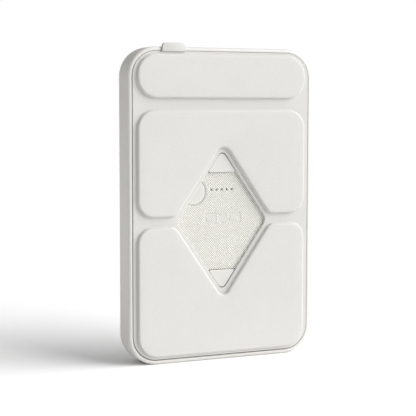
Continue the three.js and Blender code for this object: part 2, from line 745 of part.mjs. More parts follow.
// Thin steel plates behind the recess floor, which the cover's magnets hold on to.
function addKeepers() {
  const front = insideY + 0.15;
  const back = front + sheetThickness;
  const half = coverMagnet.halfHeight + 0.9;
  const reach = coverMagnet.x + coverMagnet.halfWidth;
  const closed = [coverMagnetHeight - half, coverMagnetHeight + half];
  addPiece("closed_keeper", block(-reach, reach, front, back, ...closed), finishes.steel);
  const near = insertHalfWidth + insertLip + 0.4;
  const standHeight = windowCentreHeight - windowHalfHeight + standPadHeight + 2.2;
  const open = [standHeight + 5, standHeight + 5 + 2 * half];
  addPiece("left_stand_keeper", block(-reach, -near, front, back, ...open), finishes.steel);
  addPiece("right_stand_keeper", block(near, reach, front, back, ...open), finishes.steel);
}

addBody();
addCover();
addControls();
addBattery();
addBatteryLeads();
addBoard();
addCoil();
addMagnets();
addKeepers();

export default group;
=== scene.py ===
"""A slim magnetic power bank with a fold-out stand cover, standing on its bottom edge.

Sizes in the classes are millimetres in the model's own frame: X to the right across the cover side,
Y from the cover side to the phone side, Z up. A finished piece's mesh is in metres.
"""

import json
import logging
import math
from dataclasses import dataclass
from enum import Enum
from typing import Any, Iterable, Sequence

import bmesh
import bpy
from mathutils import Matrix, Vector


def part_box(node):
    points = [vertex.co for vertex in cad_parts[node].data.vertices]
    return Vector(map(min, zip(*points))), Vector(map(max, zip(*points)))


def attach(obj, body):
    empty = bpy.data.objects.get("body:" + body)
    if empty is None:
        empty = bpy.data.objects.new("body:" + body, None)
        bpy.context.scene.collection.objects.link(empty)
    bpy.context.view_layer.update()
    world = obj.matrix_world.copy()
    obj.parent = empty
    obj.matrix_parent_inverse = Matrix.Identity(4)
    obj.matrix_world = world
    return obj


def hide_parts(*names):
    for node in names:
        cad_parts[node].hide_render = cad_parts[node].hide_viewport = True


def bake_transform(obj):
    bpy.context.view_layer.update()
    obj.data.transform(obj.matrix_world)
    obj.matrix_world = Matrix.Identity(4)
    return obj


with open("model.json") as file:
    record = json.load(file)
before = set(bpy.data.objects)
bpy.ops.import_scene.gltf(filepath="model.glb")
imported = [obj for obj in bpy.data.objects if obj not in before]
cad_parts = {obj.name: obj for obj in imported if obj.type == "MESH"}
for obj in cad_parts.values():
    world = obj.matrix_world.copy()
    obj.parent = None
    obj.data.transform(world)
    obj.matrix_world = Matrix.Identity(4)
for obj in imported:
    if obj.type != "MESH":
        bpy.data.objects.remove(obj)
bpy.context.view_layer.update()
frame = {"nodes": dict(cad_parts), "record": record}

log = logging.getLogger("power_bank")

MM = 0.001
SMALLEST_RADIUS = 0.05
DOUBLE_DISTANCE = 0.0005
SHARP_ANGLE = math.radians(38.0)

Corner = tuple[float, float, float]
Mesh = bmesh.types.BMesh
Ring = list[bmesh.types.BMVert]
Socket = bpy.types.NodeSocket
Tree = bpy.types.NodeTree


# ---------- Outlines and mesh helpers ----------
def bend(
    before: Sequence[float], here: Sequence[float], after: Sequence[float]
) -> tuple[Vector, float, float]:
    """How a line turns at a corner.

    Args:
        before: The point before the corner.
        here: The corner.
        after: The point after it.

    Returns:
        The arriving direction, +1 for a left turn or -1 for a right one, and the tangent of half the turn.
    """
    arriving = (Vector(here[:2]) - Vector(before[:2])).normalized()
    leaving = (Vector(after[:2]) - Vector(here[:2])).normalized()
    cross = arriving.x * leaving.y - arriving.y * leaving.x
    return arriving, math.copysign(1.0, cross), abs(cross) / (1 + arriving.dot(leaving))


class Plane(Enum):
    """The plane an outline is drawn in."""

    FRONT = "u is X, v is Z, depth is Y"
    SIDE = "u is Y, v is Z, depth is X"

    def place(self, u: float, v: float, depth: float) -> Vector:
        """The point at u, v on this plane, at that depth."""
        if self is Plane.FRONT:
            return Vector((u, depth, v))
        return Vector((depth, u, v))


@dataclass(frozen=True)
class Outline:
    """A closed outline of sharp corners (u, v, radius), taken anticlockwise."""

    corners: tuple[Corner, ...]
    steps: int = 12

    def turn(self, index: int) -> tuple[Vector, float, float]:
        """How the outline turns at a corner, as `bend` gives it."""
        corners = self.corners
        return bend(corners[index - 1], corners[index], corners[(index + 1) % len(corners)])

    def inset(self, distance: float) -> "Outline":
        """The same outline drawn `distance` inside this one, or outside it for a negative distance.

        Args:
            distance: How far to move every side inwards.

        Returns:
            The moved outline.
        """
        moved = []
        for index, (u, v, radius) in enumerate(self.corners):
            arriving, way, half_tangent = self.turn(index)
            left = Vector((-arriving.y, arriving.x))
            corner = Vector((u, v)) + distance * left - distance * way * half_tangent * arriving
            moved.append((corner.x, corner.y, max(radius - way * distance, SMALLEST_RADIUS)))
        return Outline(tuple(moved), self.steps)

    def points(self) -> list[tuple[float, float]]:
        """The rounded outline's points: sharp corners first, each then rounded by a bevel.

        Returns:
            Points anticlockwise, starting where the first corner's rounding starts.
        """
        bm = bmesh.new()
        verts = [bm.verts.new((u, v, 0)) for u, v, _ in self.corners]
        bm.faces.new(verts)
        for index, vert in enumerate(verts):
            bmesh.ops.bevel(
                bm,
                geom=[vert],
                offset=self.corners[index][2] * self.turn(index)[2],
                offset_type="OFFSET",
                segments=self.steps,
                profile=0.5,
                affect="VERTICES",
                material=-1,
            )
        bm.faces.ensure_lookup_table()
        found = [loop.vert.co.xy for loop in bm.faces[0].loops]
        bm.free()
        arriving, _, half_tangent = self.turn(0)
        start = Vector(self.corners[0][:2]) - arriving * self.corners[0][2] * half_tangent
        first = min(range(len(found)), key=lambda index: (found[index] - start).length)
        return [tuple(point) for point in found[first:] + found[:first]]

    def draw(self, bm: Mesh, depth: float, plane: Plane = Plane.FRONT) -> Ring:
        """Draws the outline as a closed ring of edges.

        Args:
            bm: The mesh to draw in.
            depth: Where the outline's plane lies.
            plane: The plane it is drawn in.

        Returns:
            The ring's vertices in order.
        """
        ring = [bm.verts.new(plane.place(u, v, depth)) for u, v in self.points()]
        for near, far in zip(ring, ring[1:] + ring[:1]):
            bm.edges.new((near, far))
        return ring


def box_outline(
    left: float,
    right: float,
    bottom: float,
    top: float,
    radius: float,
    top_radius: float | None = None,
    steps: int = 12,
) -> Outline:
    """A rectangle with rounded corners, whose top corners may have a radius of their own.

    Args:
        left: Left side.
        right: Right side.
        bottom: Bottom side.
        top: Top side.
        radius: Radius of the corners.
        top_radius: Radius of the top corners, if another.
        steps: Segments in each corner.

    Returns:
        The outline.
    """
    high = radius if top_radius is None else top_radius
    corners = ((left, bottom, radius), (right, bottom, radius), (right, top, high), (left, top, high))
    return Outline(corners, steps)


def disc_outline(u: float, v: float, radius: float, steps: int = 12) -> Outline:
    """A circle, as a square with its corners rounded all the way."""
    near = radius * 0.9999
    return box_outline(u - radius, u + radius, v - radius, v + radius, near, steps=steps)


def rounded_profile(points: Sequence[Corner], steps: int = 6) -> list[tuple[float, float]]:
    """Rounds the corners of an open profile.

    Args:
        points: Corners as inset, depth and corner radius.
        steps: Segments in each rounded corner.

    Returns:
        The profile as insets and depths.
    """
    result = [points[0][:2]]
    for before, here, after in zip(points, points[1:], points[2:]):
        if here[2] <= 0:
            result.append(here[:2])
            continue
        arriving, way, half_tangent = bend(before, here, after)
        start = Vector(here[:2]) - arriving * here[2] * half_tangent
        centre = start + Vector((-arriving.y, arriving.x)) * way * here[2]
        turn = way * 2 * math.atan(half_tangent)
        for step in range(steps + 1):
            result.append(tuple(centre + Matrix.Rotation(turn * step / steps, 2) @ (start - centre)))
    result.append(points[-1][:2])
    return result


def loft(
    bm: Mesh, rings: Sequence[tuple[Outline, float]], plane: Plane = Plane.FRONT
) -> tuple[Ring, Ring]:
    """Draws the first outline, then extrudes it to each of the others in turn.

    Args:
        bm: The mesh to draw in.
        rings: Outlines with as many points each, and their depths.
        plane: The plane they are drawn in.

    Returns:
        The first and the last ring.
    """
    outline, depth = rings[0]
    first = outline.draw(bm, depth, plane)
    ring = first
    for outline, depth in rings[1:]:
        made = bmesh.ops.extrude_edge_only(bm, edges=ring_edges(bm, ring))
        fresh = {item for item in made["geom"] if isinstance(item, bmesh.types.BMVert)}
        ring = [
            next(edge.other_vert(vert) for edge in vert.link_edges if edge.other_vert(vert) in fresh)
            for vert in ring
        ]
        for vert, (u, v) in zip(ring, outline.points()):
            vert.co = plane.place(u, v, depth)
    return first, ring


def sweep(
    bm: Mesh, outline: Outline, profile: Iterable[tuple[float, float]], plane: Plane = Plane.FRONT
) -> tuple[Ring, Ring]:
    """Draws one outline through the insets and depths of a profile.

    Args:
        bm: The mesh to draw in.
        outline: The outline at inset 0.
        profile: Insets and depths.
        plane: The plane the outline is drawn in.

    Returns:
        The first and the last ring.
    """
    return loft(bm, [(outline.inset(inset), depth) for inset, depth in profile], plane)


def ring_edges(bm: Mesh, ring: Ring) -> list[bmesh.types.BMEdge]:
    """The edges between a ring's neighbouring vertices."""
    return [bm.edges.get(pair) for pair in zip(ring, ring[1:] + ring[:1])]


def fill(bm: Mesh, *rings: Ring) -> None:
    """Fills the flat area between an outer ring and the rings of its holes."""
    edges = [edge for ring in rings for edge in ring_edges(bm, ring)]
    bmesh.ops.triangle_fill(bm, use_beauty=True, use_dissolve=False, edges=edges)


def solid(
    bm: Mesh, outline: Outline, profile: Iterable[tuple[float, float]], plane: Plane = Plane.FRONT
) -> None:
    """Draws an outline through a profile and fills both ends."""
    for ring in sweep(bm, outline, profile, plane):
        fill(bm, ring)


def slab(
    bm: Mesh,
    outline: Outline,
    front: float,
    back: float,
    front_round: float = 0.1,
    back_round: float = 0.1,
    plane: Plane = Plane.FRONT,
    steps: int = 3,
) -> None:
    """Adds a closed plate with rounded edges between two depths.

    Args:
        bm: The mesh, in millimetres.
        outline: Its outline.
        front: Depth of its front face.
        back: Depth of its back face.
        front_round: Radius of the front edge.
        back_round: Radius of the back edge.
        plane: The plane its outline is drawn in.
        steps: Segments in each edge.
    """
    face_inset = max(front_round, back_round) + 0.3
    corners = [
        (face_inset, front, 0),
        (0, front, front_round),
        (0, (front + back) / 2, 0),
        (0, back, back_round),
        (face_inset, back, 0),
    ]
    solid(bm, outline, rounded_profile(corners, steps), plane)


def add_mesh(bm: Mesh, part: Mesh) -> None:
    """Adds a copy of one bmesh to another, and frees the first.

    Args:
        bm: The mesh that takes the copy.
        part: The mesh to copy.
    """
    mesh = bpy.data.meshes.new("part")
    part.to_mesh(mesh)
    part.free()
    bm.from_mesh(mesh)
    bpy.data.meshes.remove(mesh)


def cut_level(bm: Mesh, height: float, **clear: bool) -> list[bmesh.types.BMEdge]:
    """Cuts a mesh at a height.

    Args:
        bm: The mesh.
        height: Height of the cut.
        clear: Says clear_inner to throw away what is below, or clear_outer for what is above.

    Returns:
        The edges that lie in the cut.
    """
    everything = [*bm.verts, *bm.edges, *bm.faces]
    cut = bmesh.ops.bisect_plane(
        bm, geom=everything, plane_co=(0, 0, height), plane_no=(0, 0, 1), **clear
    )
    return [item for item in cut["geom_cut"] if isinstance(item, bmesh.types.BMEdge)]


def keep_between(bm: Mesh, low: float, high: float) -> None:
    """Cuts a closed mesh at two heights, keeps what is between them and closes the cuts."""
    for height, side in ((low, "clear_inner"), (high, "clear_outer")):
        bmesh.ops.holes_fill(bm, edges=cut_level(bm, height, **{side: True}), sides=0)


# ---------- Finishes ----------
def connect(tree: Tree, node: bpy.types.Node, inputs: dict[str, Any]) -> None:
    """Gives each named input of a node its value, or its link from another node's socket.

    Args:
        tree: The node tree.
        node: The node.
        inputs: Values or sockets by input name.
    """
    for name, value in inputs.items():
        if isinstance(value, Socket):
            tree.links.new(value, node.inputs[name])
        else:
            node.inputs[name].default_value = value


def add_node(tree: Tree, kind: str, inputs: dict[str, Any], **settings: str) -> bpy.types.Node:
    """Adds a node.

    Args:
        tree: The tree to add it to.
        kind: Its type.
        inputs: Values or links for its inputs.
        settings: Its settings, such as an operation.

    Returns:
        The node.
    """
    node = tree.nodes.new(kind)
    for setting, value in settings.items():
        setattr(node, setting, value)
    connect(tree, node, inputs)
    return node


@dataclass(frozen=True)
class Finish:
    """A procedural finish on Object coordinates: colour, its variation, grain, roughness, wear, and painted
    shade towards the pits of a moulded texture.
    """

    name: str
    slot: str
    colour: tuple[float, float, float]
    roughness: float
    colour_spread: float = 0.03
    roughness_spread: float = 0.06
    patch_scale: float = 60.0
    grain_scale: float = 2500.0
    grain_height: float = 0.02
    ripple_height: float = 0.0
    ripple_scale: float = 90.0
    edge_tint: float = 0.0
    metallic: float = 0.0
    coat: float = 0.0
    sheen: float = 0.0
    subsurface: float = 0.0
    ior: float = 1.46
    stretch: tuple[float, float, float] = (1.0, 1.0, 1.0)
    cells: bool = False
    # Painted shade: the colour darkens towards pit_level over pit_depth, down to painted_pit_shade.
    pit_level: float | None = None
    pit_depth: float = 0.2
    painted_pit_shade: float = 0.7

    def material(self) -> bpy.types.Material:
        """The finish as a material, made once."""
        made = bpy.data.materials.get(self.name)
        if made is None:
            made = self.build()
        return made

    def build(self) -> bpy.types.Material:
        """Builds the node tree."""
        material = bpy.data.materials.new(self.name)
        material.use_nodes = True
        tree = material.node_tree
        place = add_node(tree, "ShaderNodeTexCoord", {}).outputs["Object"]
        mapping = add_node(tree, "ShaderNodeMapping", {"Scale": self.stretch, "Vector": place})
        point = mapping.outputs["Vector"]
        patches = self.noise(tree, point, self.patch_scale, 3.0)
        fine = self.grain(tree, point)
        colour = self.colour_nodes(tree, patches, fine)
        # Painted shade in the pits between the bumps, where real shade would fall.
        if self.pit_level is not None:
            colour = self.paint_pit_shade(tree, place, colour)
        limits = {
            "To Min": self.roughness - self.roughness_spread,
            "To Max": self.roughness + self.roughness_spread,
            "Value": patches,
        }
        inputs = {
            "Metallic": self.metallic,
            "IOR": self.ior,
            "Coat Weight": self.coat,
            "Coat Roughness": 0.25,
            "Sheen Weight": self.sheen,
            "Sheen Roughness": 0.6,
            "Subsurface Weight": self.subsurface,
            "Subsurface Radius": (1.0, 0.9, 0.8),
            "Subsurface Scale": 0.001,
            "Base Color": colour,
            "Roughness": add_node(tree, "ShaderNodeMapRange", limits).outputs["Result"],
            "Normal": self.bumps(tree, point, fine),
        }
        connect(tree, tree.nodes["Principled BSDF"], inputs)
        return material

    @staticmethod
    def noise(tree: Tree, point: Socket, scale: float, detail: float) -> Socket:
        """Adds a noise texture and returns its value."""
        inputs = {"Scale": scale, "Detail": detail, "Roughness": 0.55, "Vector": point}
        return add_node(tree, "ShaderNodeTexNoise", inputs).outputs["Fac"]

    def grain(self, tree: Tree, point: Socket) -> Socket:
        """The fine grain: pebbled cells for a soft skin, or plain noise.

        Args:
            tree: The node tree.
            point: The coordinates it is mapped on.

        Returns:
            Its value.
        """
        if not self.cells:
            return self.noise(tree, point, self.grain_scale, 2.0)
        inputs = {"Scale": self.grain_scale, "Smoothness": 0.6, "Randomness": 1.0, "Vector": point}
        node = add_node(tree, "ShaderNodeTexVoronoi", {}, feature="SMOOTH_F1")
        connect(tree, node, inputs)
        return node.outputs["Distance"]

    def colour_nodes(self, tree: Tree, patches: Socket, fine: Socket) -> Socket:
        """The base colour: broad patches, fainter grain, and lighter worn edges.

        Args:
            tree: The node tree.
            patches: Value of the broad patches.
            fine: Value of the fine grain.

        Returns:
            The colour.
        """
        ramp = add_node(tree, "ShaderNodeValToRGB", {"Fac": patches})
        ends = ((0.3, 1 - self.colour_spread), (0.7, 1 + self.colour_spread))
        for element, (position, share) in zip(ramp.color_ramp.elements, ends):
            element.position = position
            element.color = (*(min(channel * share, 1.0) for channel in self.colour), 1)
        inputs = {"Factor": 0.12, "A": ramp.outputs["Color"], "B": fine}
        mix = "ShaderNodeMix"
        flecks = add_node(tree, mix, inputs, data_type="RGBA", blend_type="SOFT_LIGHT")
        if not self.edge_tint:
            return flecks.outputs["Result"]
        pointiness = add_node(tree, "ShaderNodeNewGeometry", {}).outputs["Pointiness"]
        limits = {"From Min": 0.5, "From Max": 0.62, "To Max": self.edge_tint, "Value": pointiness}
        edges = add_node(tree, "ShaderNodeMapRange", limits).outputs["Result"]
        inputs = {"B": (1, 1, 1, 1), "Factor": edges, "A": flecks.outputs["Result"]}
        return add_node(tree, mix, inputs, data_type="RGBA").outputs["Result"]

    def paint_pit_shade(self, tree: Tree, point: Socket, colour: Socket) -> Socket:
        """Paints shade into the colour towards the pit level: painted shade between the bumps of a moulded
        texture, which also darkens whatever else lies at that level.

        Args:
            tree: The node tree.
            point: Object coordinates.
            colour: The colour to darken.

        Returns:
            The darkened colour.
        """
        split = add_node(tree, "ShaderNodeSeparateXYZ", {"Vector": point})
        limits = {
            "From Min": self.pit_level * MM,
            "From Max": (self.pit_level - self.pit_depth) * MM,
            "To Min": self.painted_pit_shade,
            "Value": split.outputs["Y"],
        }
        depth = add_node(tree, "ShaderNodeMapRange", limits).outputs["Result"]
        shade = add_node(tree, "ShaderNodeVectorMath", {}, operation="SCALE")
        connect(tree, shade, {"Vector": colour, "Scale": depth})
        return shade.outputs["Vector"]

    def bumps(self, tree: Tree, point: Socket, fine: Socket) -> Socket:
        """The bump of the grain on top of the broad unevenness.

        Args:
            tree: The node tree.
            point: The coordinates it is mapped on.
            fine: Value of the fine grain.

        Returns:
            The bumped normal.
        """
        inputs = {"Strength": 1.0, "Distance": self.grain_height * MM, "Height": fine}
        if self.ripple_height:
            height = self.noise(tree, point, self.ripple_scale, 1.0)
            ripples = {"Strength": 1.0, "Distance": self.ripple_height * MM, "Height": height}
            inputs["Normal"] = add_node(tree, "ShaderNodeBump", ripples).outputs["Normal"]
        return add_node(tree, "ShaderNodeBump", inputs).outputs["Normal"]


class Finishes(Enum):
    """Every finish of the power bank."""

    SHELL = Finish(
        "satin_shell", "shell_plastic", (0.62, 0.611, 0.584), 0.36, 0.012, 0.05, grain_scale=9000,
        grain_height=0.004, ripple_height=0.01, subsurface=0.05,
    )
    COVER = Finish(
        "soft_grained_cover", "cover_leather", (0.56, 0.553, 0.531), 0.66, 0.014, 0.05, grain_scale=4200,
        grain_height=0.022, ripple_height=0.05, ripple_scale=120, sheen=0.12, cells=True,
    )
    LINING = Finish(
        "brushed_lining", "cover_lining", (0.66, 0.655, 0.63), 0.9, 0.03, grain_scale=5200,
        grain_height=0.04, ripple_height=0.02, sheen=0.4,
    )
    BOARD_STIFFENER = Finish(
        "pressed_fibreboard", "fibreboard", (0.48, 0.42, 0.3), 0.85, 0.12, grain_scale=1800,
        grain_height=0.04, stretch=(1, 1, 0.3),
    )
    # The insert's colour carries painted shade: darker at the recess level, between its bumps and on the
    # pictogram's strokes.
    INSERT = Finish(
        "moulded_insert", "textured_plastic", (0.98, 0.97, 0.92), 0.42, 0.012, 0.05, grain_scale=7000,
        grain_height=0.006, pit_level=-3.8, pit_depth=0.1, painted_pit_shade=0.55,
    )
    PAD = Finish(
        "smooth_stand_pad", "pad_plastic", (0.585, 0.58, 0.552), 0.5, 0.012, 0.05, grain_scale=6000,
        grain_height=0.008, edge_tint=0.2,
    )
    BUTTON = Finish(
        "satin_button", "pad_plastic", (0.58, 0.574, 0.545), 0.4, 0.012, 0.04, grain_scale=8000,
        grain_height=0.004, edge_tint=0.2,
    )
    LIGHT_GUIDE = Finish(
        "smoked_light_guide", "clear_guide", (0.2, 0.198, 0.19), 0.25, 0.05, grain_scale=6000,
        grain_height=0.002, coat=0.3,
    )
    PHONE_PAD = Finish(
        "soft_phone_pad", "phone_side_pad", (0.70, 0.695, 0.675), 0.78, 0.02, 0.05, grain_scale=5200,
        grain_height=0.014, ripple_height=0.02, sheen=0.2,
    )
    FOIL = Finish(
        "pouch_foil", "pouch_foil", (0.55, 0.57, 0.6), 0.38, 0.04, 0.12, grain_scale=1200, grain_height=0.02,
        ripple_height=0.12, ripple_scale=260, metallic=0.75,
    )
    FOAM = Finish(
        "black_foam", "black_foam", (0.03, 0.03, 0.032), 0.95, 0.2, grain_scale=2600, grain_height=0.12,
        cells=True,
    )
    CIRCUIT = Finish(
        "circuit_board", "circuit_board", (0.015, 0.13, 0.055), 0.45, 0.12, 0.1, patch_scale=700,
        grain_scale=3000, grain_height=0.02, coat=0.4,
    )
    CHIP = Finish(
        "moulded_chip", "chip_plastic", (0.02, 0.02, 0.022), 0.5, 0.15, grain_scale=7000, grain_height=0.02,
    )
    STEEL = Finish(
        "bright_steel", "bright_steel", (0.62, 0.63, 0.64), 0.26, 0.05, 0.1, grain_scale=3000,
        grain_height=0.006, metallic=1.0, stretch=(1, 1, 8), edge_tint=0.3,
    )
    MAGNET = Finish(
        "nickel_magnet", "magnet_nickel", (0.66, 0.65, 0.62), 0.22, 0.05, 0.08, grain_scale=2500,
        grain_height=0.005, metallic=1.0, edge_tint=0.3,
    )
    COPPER = Finish(
        "wound_copper", "copper_wire", (0.72, 0.33, 0.15), 0.34, 0.12, 0.1, grain_scale=2600,
        grain_height=0.02, metallic=1.0,
    )
    FERRITE = Finish(
        "dark_ferrite", "ferrite", (0.045, 0.043, 0.045), 0.6, 0.2, grain_scale=3600, grain_height=0.03,
    )
    GRAPHITE = Finish(
        "graphite_sheet", "graphite", (0.09, 0.09, 0.095), 0.42, 0.15, 0.12, grain_scale=1500,
        grain_height=0.01, metallic=0.5,
    )
    CERAMIC = Finish(
        "ceramic_part", "ceramic", (0.45, 0.33, 0.19), 0.5, 0.1, grain_scale=5000, grain_height=0.01,
    )
    LAMP = Finish(
        "lamp_lens", "lamp_lens", (0.85, 0.82, 0.62), 0.25, 0.05, grain_scale=5000, grain_height=0.002,
        coat=0.6,
    )
    RED_LEAD = Finish(
        "red_insulation", "red_insulation", (0.5, 0.02, 0.015), 0.45, 0.08, grain_scale=5000,
        grain_height=0.01,
    )
    BLACK_LEAD = Finish(
        "black_insulation", "black_insulation", (0.012, 0.012, 0.013), 0.45, 0.2, grain_scale=5000,
        grain_height=0.01,
    )
    BLACK_PLASTIC = Finish(
        "black_plastic", "chip_plastic", (0.02, 0.02, 0.021), 0.42, 0.15, grain_scale=6000,
        grain_height=0.01,
    )
    FLOOR = Finish(
        "studio_floor", "", (0.97, 0.97, 0.97), 0.7, 0.004, 0.02, patch_scale=3, grain_scale=900,
        grain_height=0.001, ior=1.0,
    )

    def dress(self, piece: bpy.types.Object) -> None:
        """Gives a piece this finish alone."""
        piece.data.materials.clear()
        piece.data.materials.append(self.value.material())


# ---------- Finished pieces ----------
def add_object(bm: Mesh, name: str, finish: Finishes) -> bpy.types.Object:
    """Makes a bmesh, which is freed, a dressed object in the scene.

    Args:
        bm: The mesh, in millimetres.
        name: Name of the object and its mesh.
        finish: Its finish.

    Returns:
        The object.
    """
    mesh = bpy.data.meshes.new(name)
    bm.to_mesh(mesh)
    bm.free()
    made = bpy.data.objects.new(name, mesh)
    bpy.context.scene.collection.objects.link(made)
    finish.dress(made)
    return made


def publish(
    bm: Mesh,
    name: str,
    finish: Finishes,
    replaced: Sequence[str],
    body: str | None = "body",
) -> bpy.types.Object:
    """Turns a bmesh in millimetres into a piece in metres, with its edges marked and its finish on.

    Args:
        bm: The mesh, which is freed.
        name: Name of the piece.
        finish: Its finish, which also names its material slot.
        replaced: The model's nodes it stands for.
        body: The body it rides on, if it rides on one alone.

    Returns:
        The piece.
    """
    bmesh.ops.remove_doubles(bm, verts=bm.verts, dist=DOUBLE_DISTANCE)
    bmesh.ops.recalc_face_normals(bm, faces=bm.faces)
    bmesh.ops.scale(bm, verts=bm.verts, vec=(MM, MM, MM))
    for face in bm.faces:
        face.smooth = True
    for edge in bm.edges:
        edge.smooth = edge.is_manifold and edge.calc_face_angle() < SHARP_ANGLE
    open_edges = sum(not edge.is_manifold for edge in bm.edges)
    piece = add_object(bm, name, finish)
    if replaced:
        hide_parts(*replaced)
    if body:
        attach(piece, body)
    log.info("%s: %d faces, %d open edges", name, len(piece.data.polygons), open_edges)
    return piece


def node_box(name: str) -> tuple[Vector, Vector]:
    """The lowest and highest corner of a node's box, in millimetres."""
    low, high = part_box(name)
    return low / MM, high / MM


# ---------- Sizes that several pieces share ----------
@dataclass(frozen=True)
class Levels:
    """Depths along Y, from the cover side to the phone side."""

    puff: float = -6.4
    rim: float = -5.2
    flange: float = -5.1
    skin_back: float = -4.47
    lining_front: float = -4.45
    lining_back: float = -4.0
    recess: float = -3.8
    inside: float = -2.8
    insert_back: float = -2.3
    ledge: float = 4.2
    ledge_back: float = 5.0
    plate: float = 5.05
    phone_side: float = 6.2
    pad_face: float = 6.4


@dataclass(frozen=True)
class Window:
    """The diamond window in the cover, through which the textured insert shows."""

    centre: float = 47.25
    half_width: float = 16.6
    half_height: float = 24.1
    side_round: float = 3.0
    end_round: float = 1.75
    margin: float = 1.45

    def outline(self) -> Outline:
        """The window's outline."""
        low = self.centre - self.half_height
        high = self.centre + self.half_height
        corners = (
            (0, low, self.end_round),
            (self.half_width, self.centre, self.side_round),
            (0, high, self.end_round),
            (-self.half_width, self.centre, self.side_round),
        )
        return Outline(corners, 10)

    def tip_rise(self) -> float:
        """How far above the middle a panel's notch would come to a point."""
        slope = math.hypot(self.half_width, self.half_height)
        return self.half_height + self.margin * slope / self.half_width

    def notch_half_width(self, height: float) -> float:
        """Half the width of a panel's notch at a height."""
        rise = self.tip_rise() - abs(height - self.centre)
        return rise * self.half_width / self.half_height


LEVELS = Levels()
WINDOW = Window()


# ---------- Shell ----------
@dataclass
class Shell:
    """The main moulding: side walls, the rim round the cover, the recess floor and the ledge."""

    half_width: float = 33.5
    height: float = 105.0
    corner: float = 9.8
    rim: float = 1.27
    rim_round: float = 0.9
    back_round: float = 3.0
    wall: float = 1.5
    mouth: float = 3.8
    ledge: float = 5.2
    insert_half_width: float = 18.2
    insert_bottom: float = 20.55
    insert_top: float = 73.95
    insert_corner: float = 4.2
    insert_chamfer: float = 0.1
    port_height: float = 75.0
    port_middle: float = 0.2
    port_half_length: float = 4.77
    port_half_thickness: float = 1.93
    port_chamfer: float = 0.25
    boss_x: float = 24.0
    boss_height: float = 87.5
    boss_radius: float = 2.2
    boss_bore: float = 0.75
    boss_back: float = -0.35
    corner_steps: int = 20

    def outline(self) -> Outline:
        """The body's outline."""
        wide = self.half_width
        return box_outline(-wide, wide, 0, self.height, self.corner, steps=self.corner_steps)

    def build(self) -> None:
        """Builds the shell as one closed wall, with the opening for the port."""
        bm = bmesh.new()
        profile = [
            (self.rim + 0.25, LEVELS.recess, 0),
            (self.rim + 0.02, LEVELS.recess, 0.12),
            (self.rim, LEVELS.rim, 0.14),
            (0, LEVELS.rim, self.rim_round),
            (0, LEVELS.rim + self.rim_round + 0.15, 0),
            (0, LEVELS.phone_side - self.back_round - 0.15, 0),
            (0, LEVELS.phone_side, self.back_round),
            (self.mouth, LEVELS.phone_side, 0.15),
            (self.mouth, LEVELS.ledge_back, 0),
            (self.ledge, LEVELS.ledge_back, 0),
            (self.ledge, LEVELS.ledge, 0),
            (self.wall, LEVELS.ledge, 0),
            (self.wall, LEVELS.inside, 0),
        ]
        wide = self.insert_half_width
        insert = box_outline(
            -wide, wide, self.insert_bottom, self.insert_top, self.insert_corner, steps=self.corner_steps
        )
        rings = [
            (insert, LEVELS.inside),
            (insert, LEVELS.recess + self.insert_chamfer),
            (insert.inset(-self.insert_chamfer), LEVELS.recess),
        ]
        body = self.outline()
        rings.extend((body.inset(inset), depth) for inset, depth in rounded_profile(profile, 7))
        loft(bm, [*rings, rings[0]])
        self.open_port(bm)
        self.add_bosses(bm)
        publish(bm, "shell", Finishes.SHELL, ["main_shell"])

    def open_port(self, bm: Mesh) -> None:
        """Cuts the port's opening through the right wall, with a small chamfer outside.

        Args:
            bm: The mesh, in millimetres.
        """
        half = self.port_half_thickness
        low = self.port_height - self.port_half_length
        high = self.port_height + self.port_half_length
        stadium = box_outline(
            self.port_middle - half, self.port_middle + half, low, high, half * 0.999, steps=10
        )
        outer = self.half_width
        inner = outer - self.wall
        chamfer = self.port_chamfer
        profile = [(-chamfer, outer), (0, outer - chamfer), (0, inner)]
        for depth, ring in zip((outer, inner), sweep(bm, stadium, profile, Plane.SIDE)):
            faces = [face for face in bm.faces if self.round_port(face, depth)]
            border = [edge for face in faces for edge in face.edges]
            bmesh.ops.delete(bm, geom=faces, context="FACES_ONLY")
            edges = [*border, *ring_edges(bm, ring)]
            bmesh.ops.triangle_fill(bm, use_beauty=True, use_dissolve=False, edges=edges)

    def round_port(self, face: bmesh.types.BMFace, depth: float) -> bool:
        """True for a face across the body at that depth, if the port's opening lies inside it.

        Args:
            face: The face.
            depth: Distance across the body.

        Returns:
            True if it is.
        """
        across, deep, high = zip(*(vert.co for vert in face.verts))
        return (
            all(abs(x - depth) < 1e-3 for x in across)
            and min(high) < self.port_height - self.port_half_length
            and max(high) > self.port_height + self.port_half_length
            and min(deep) < self.port_middle < max(deep)
        )

    def add_bosses(self, bm: Mesh) -> None:
        """Adds the two screw bosses behind the recess floor.

        Args:
            bm: The mesh, in millimetres.
        """
        bore = self.boss_radius - self.boss_bore
        front = LEVELS.inside + 0.02
        back = self.boss_back
        profile = [(bore, front), (0, front), (0, back), (bore, back), (bore, front)]
        for side in (-1, 1):
            sweep(bm, disc_outline(side * self.boss_x, self.boss_height, self.boss_radius, 8), profile)


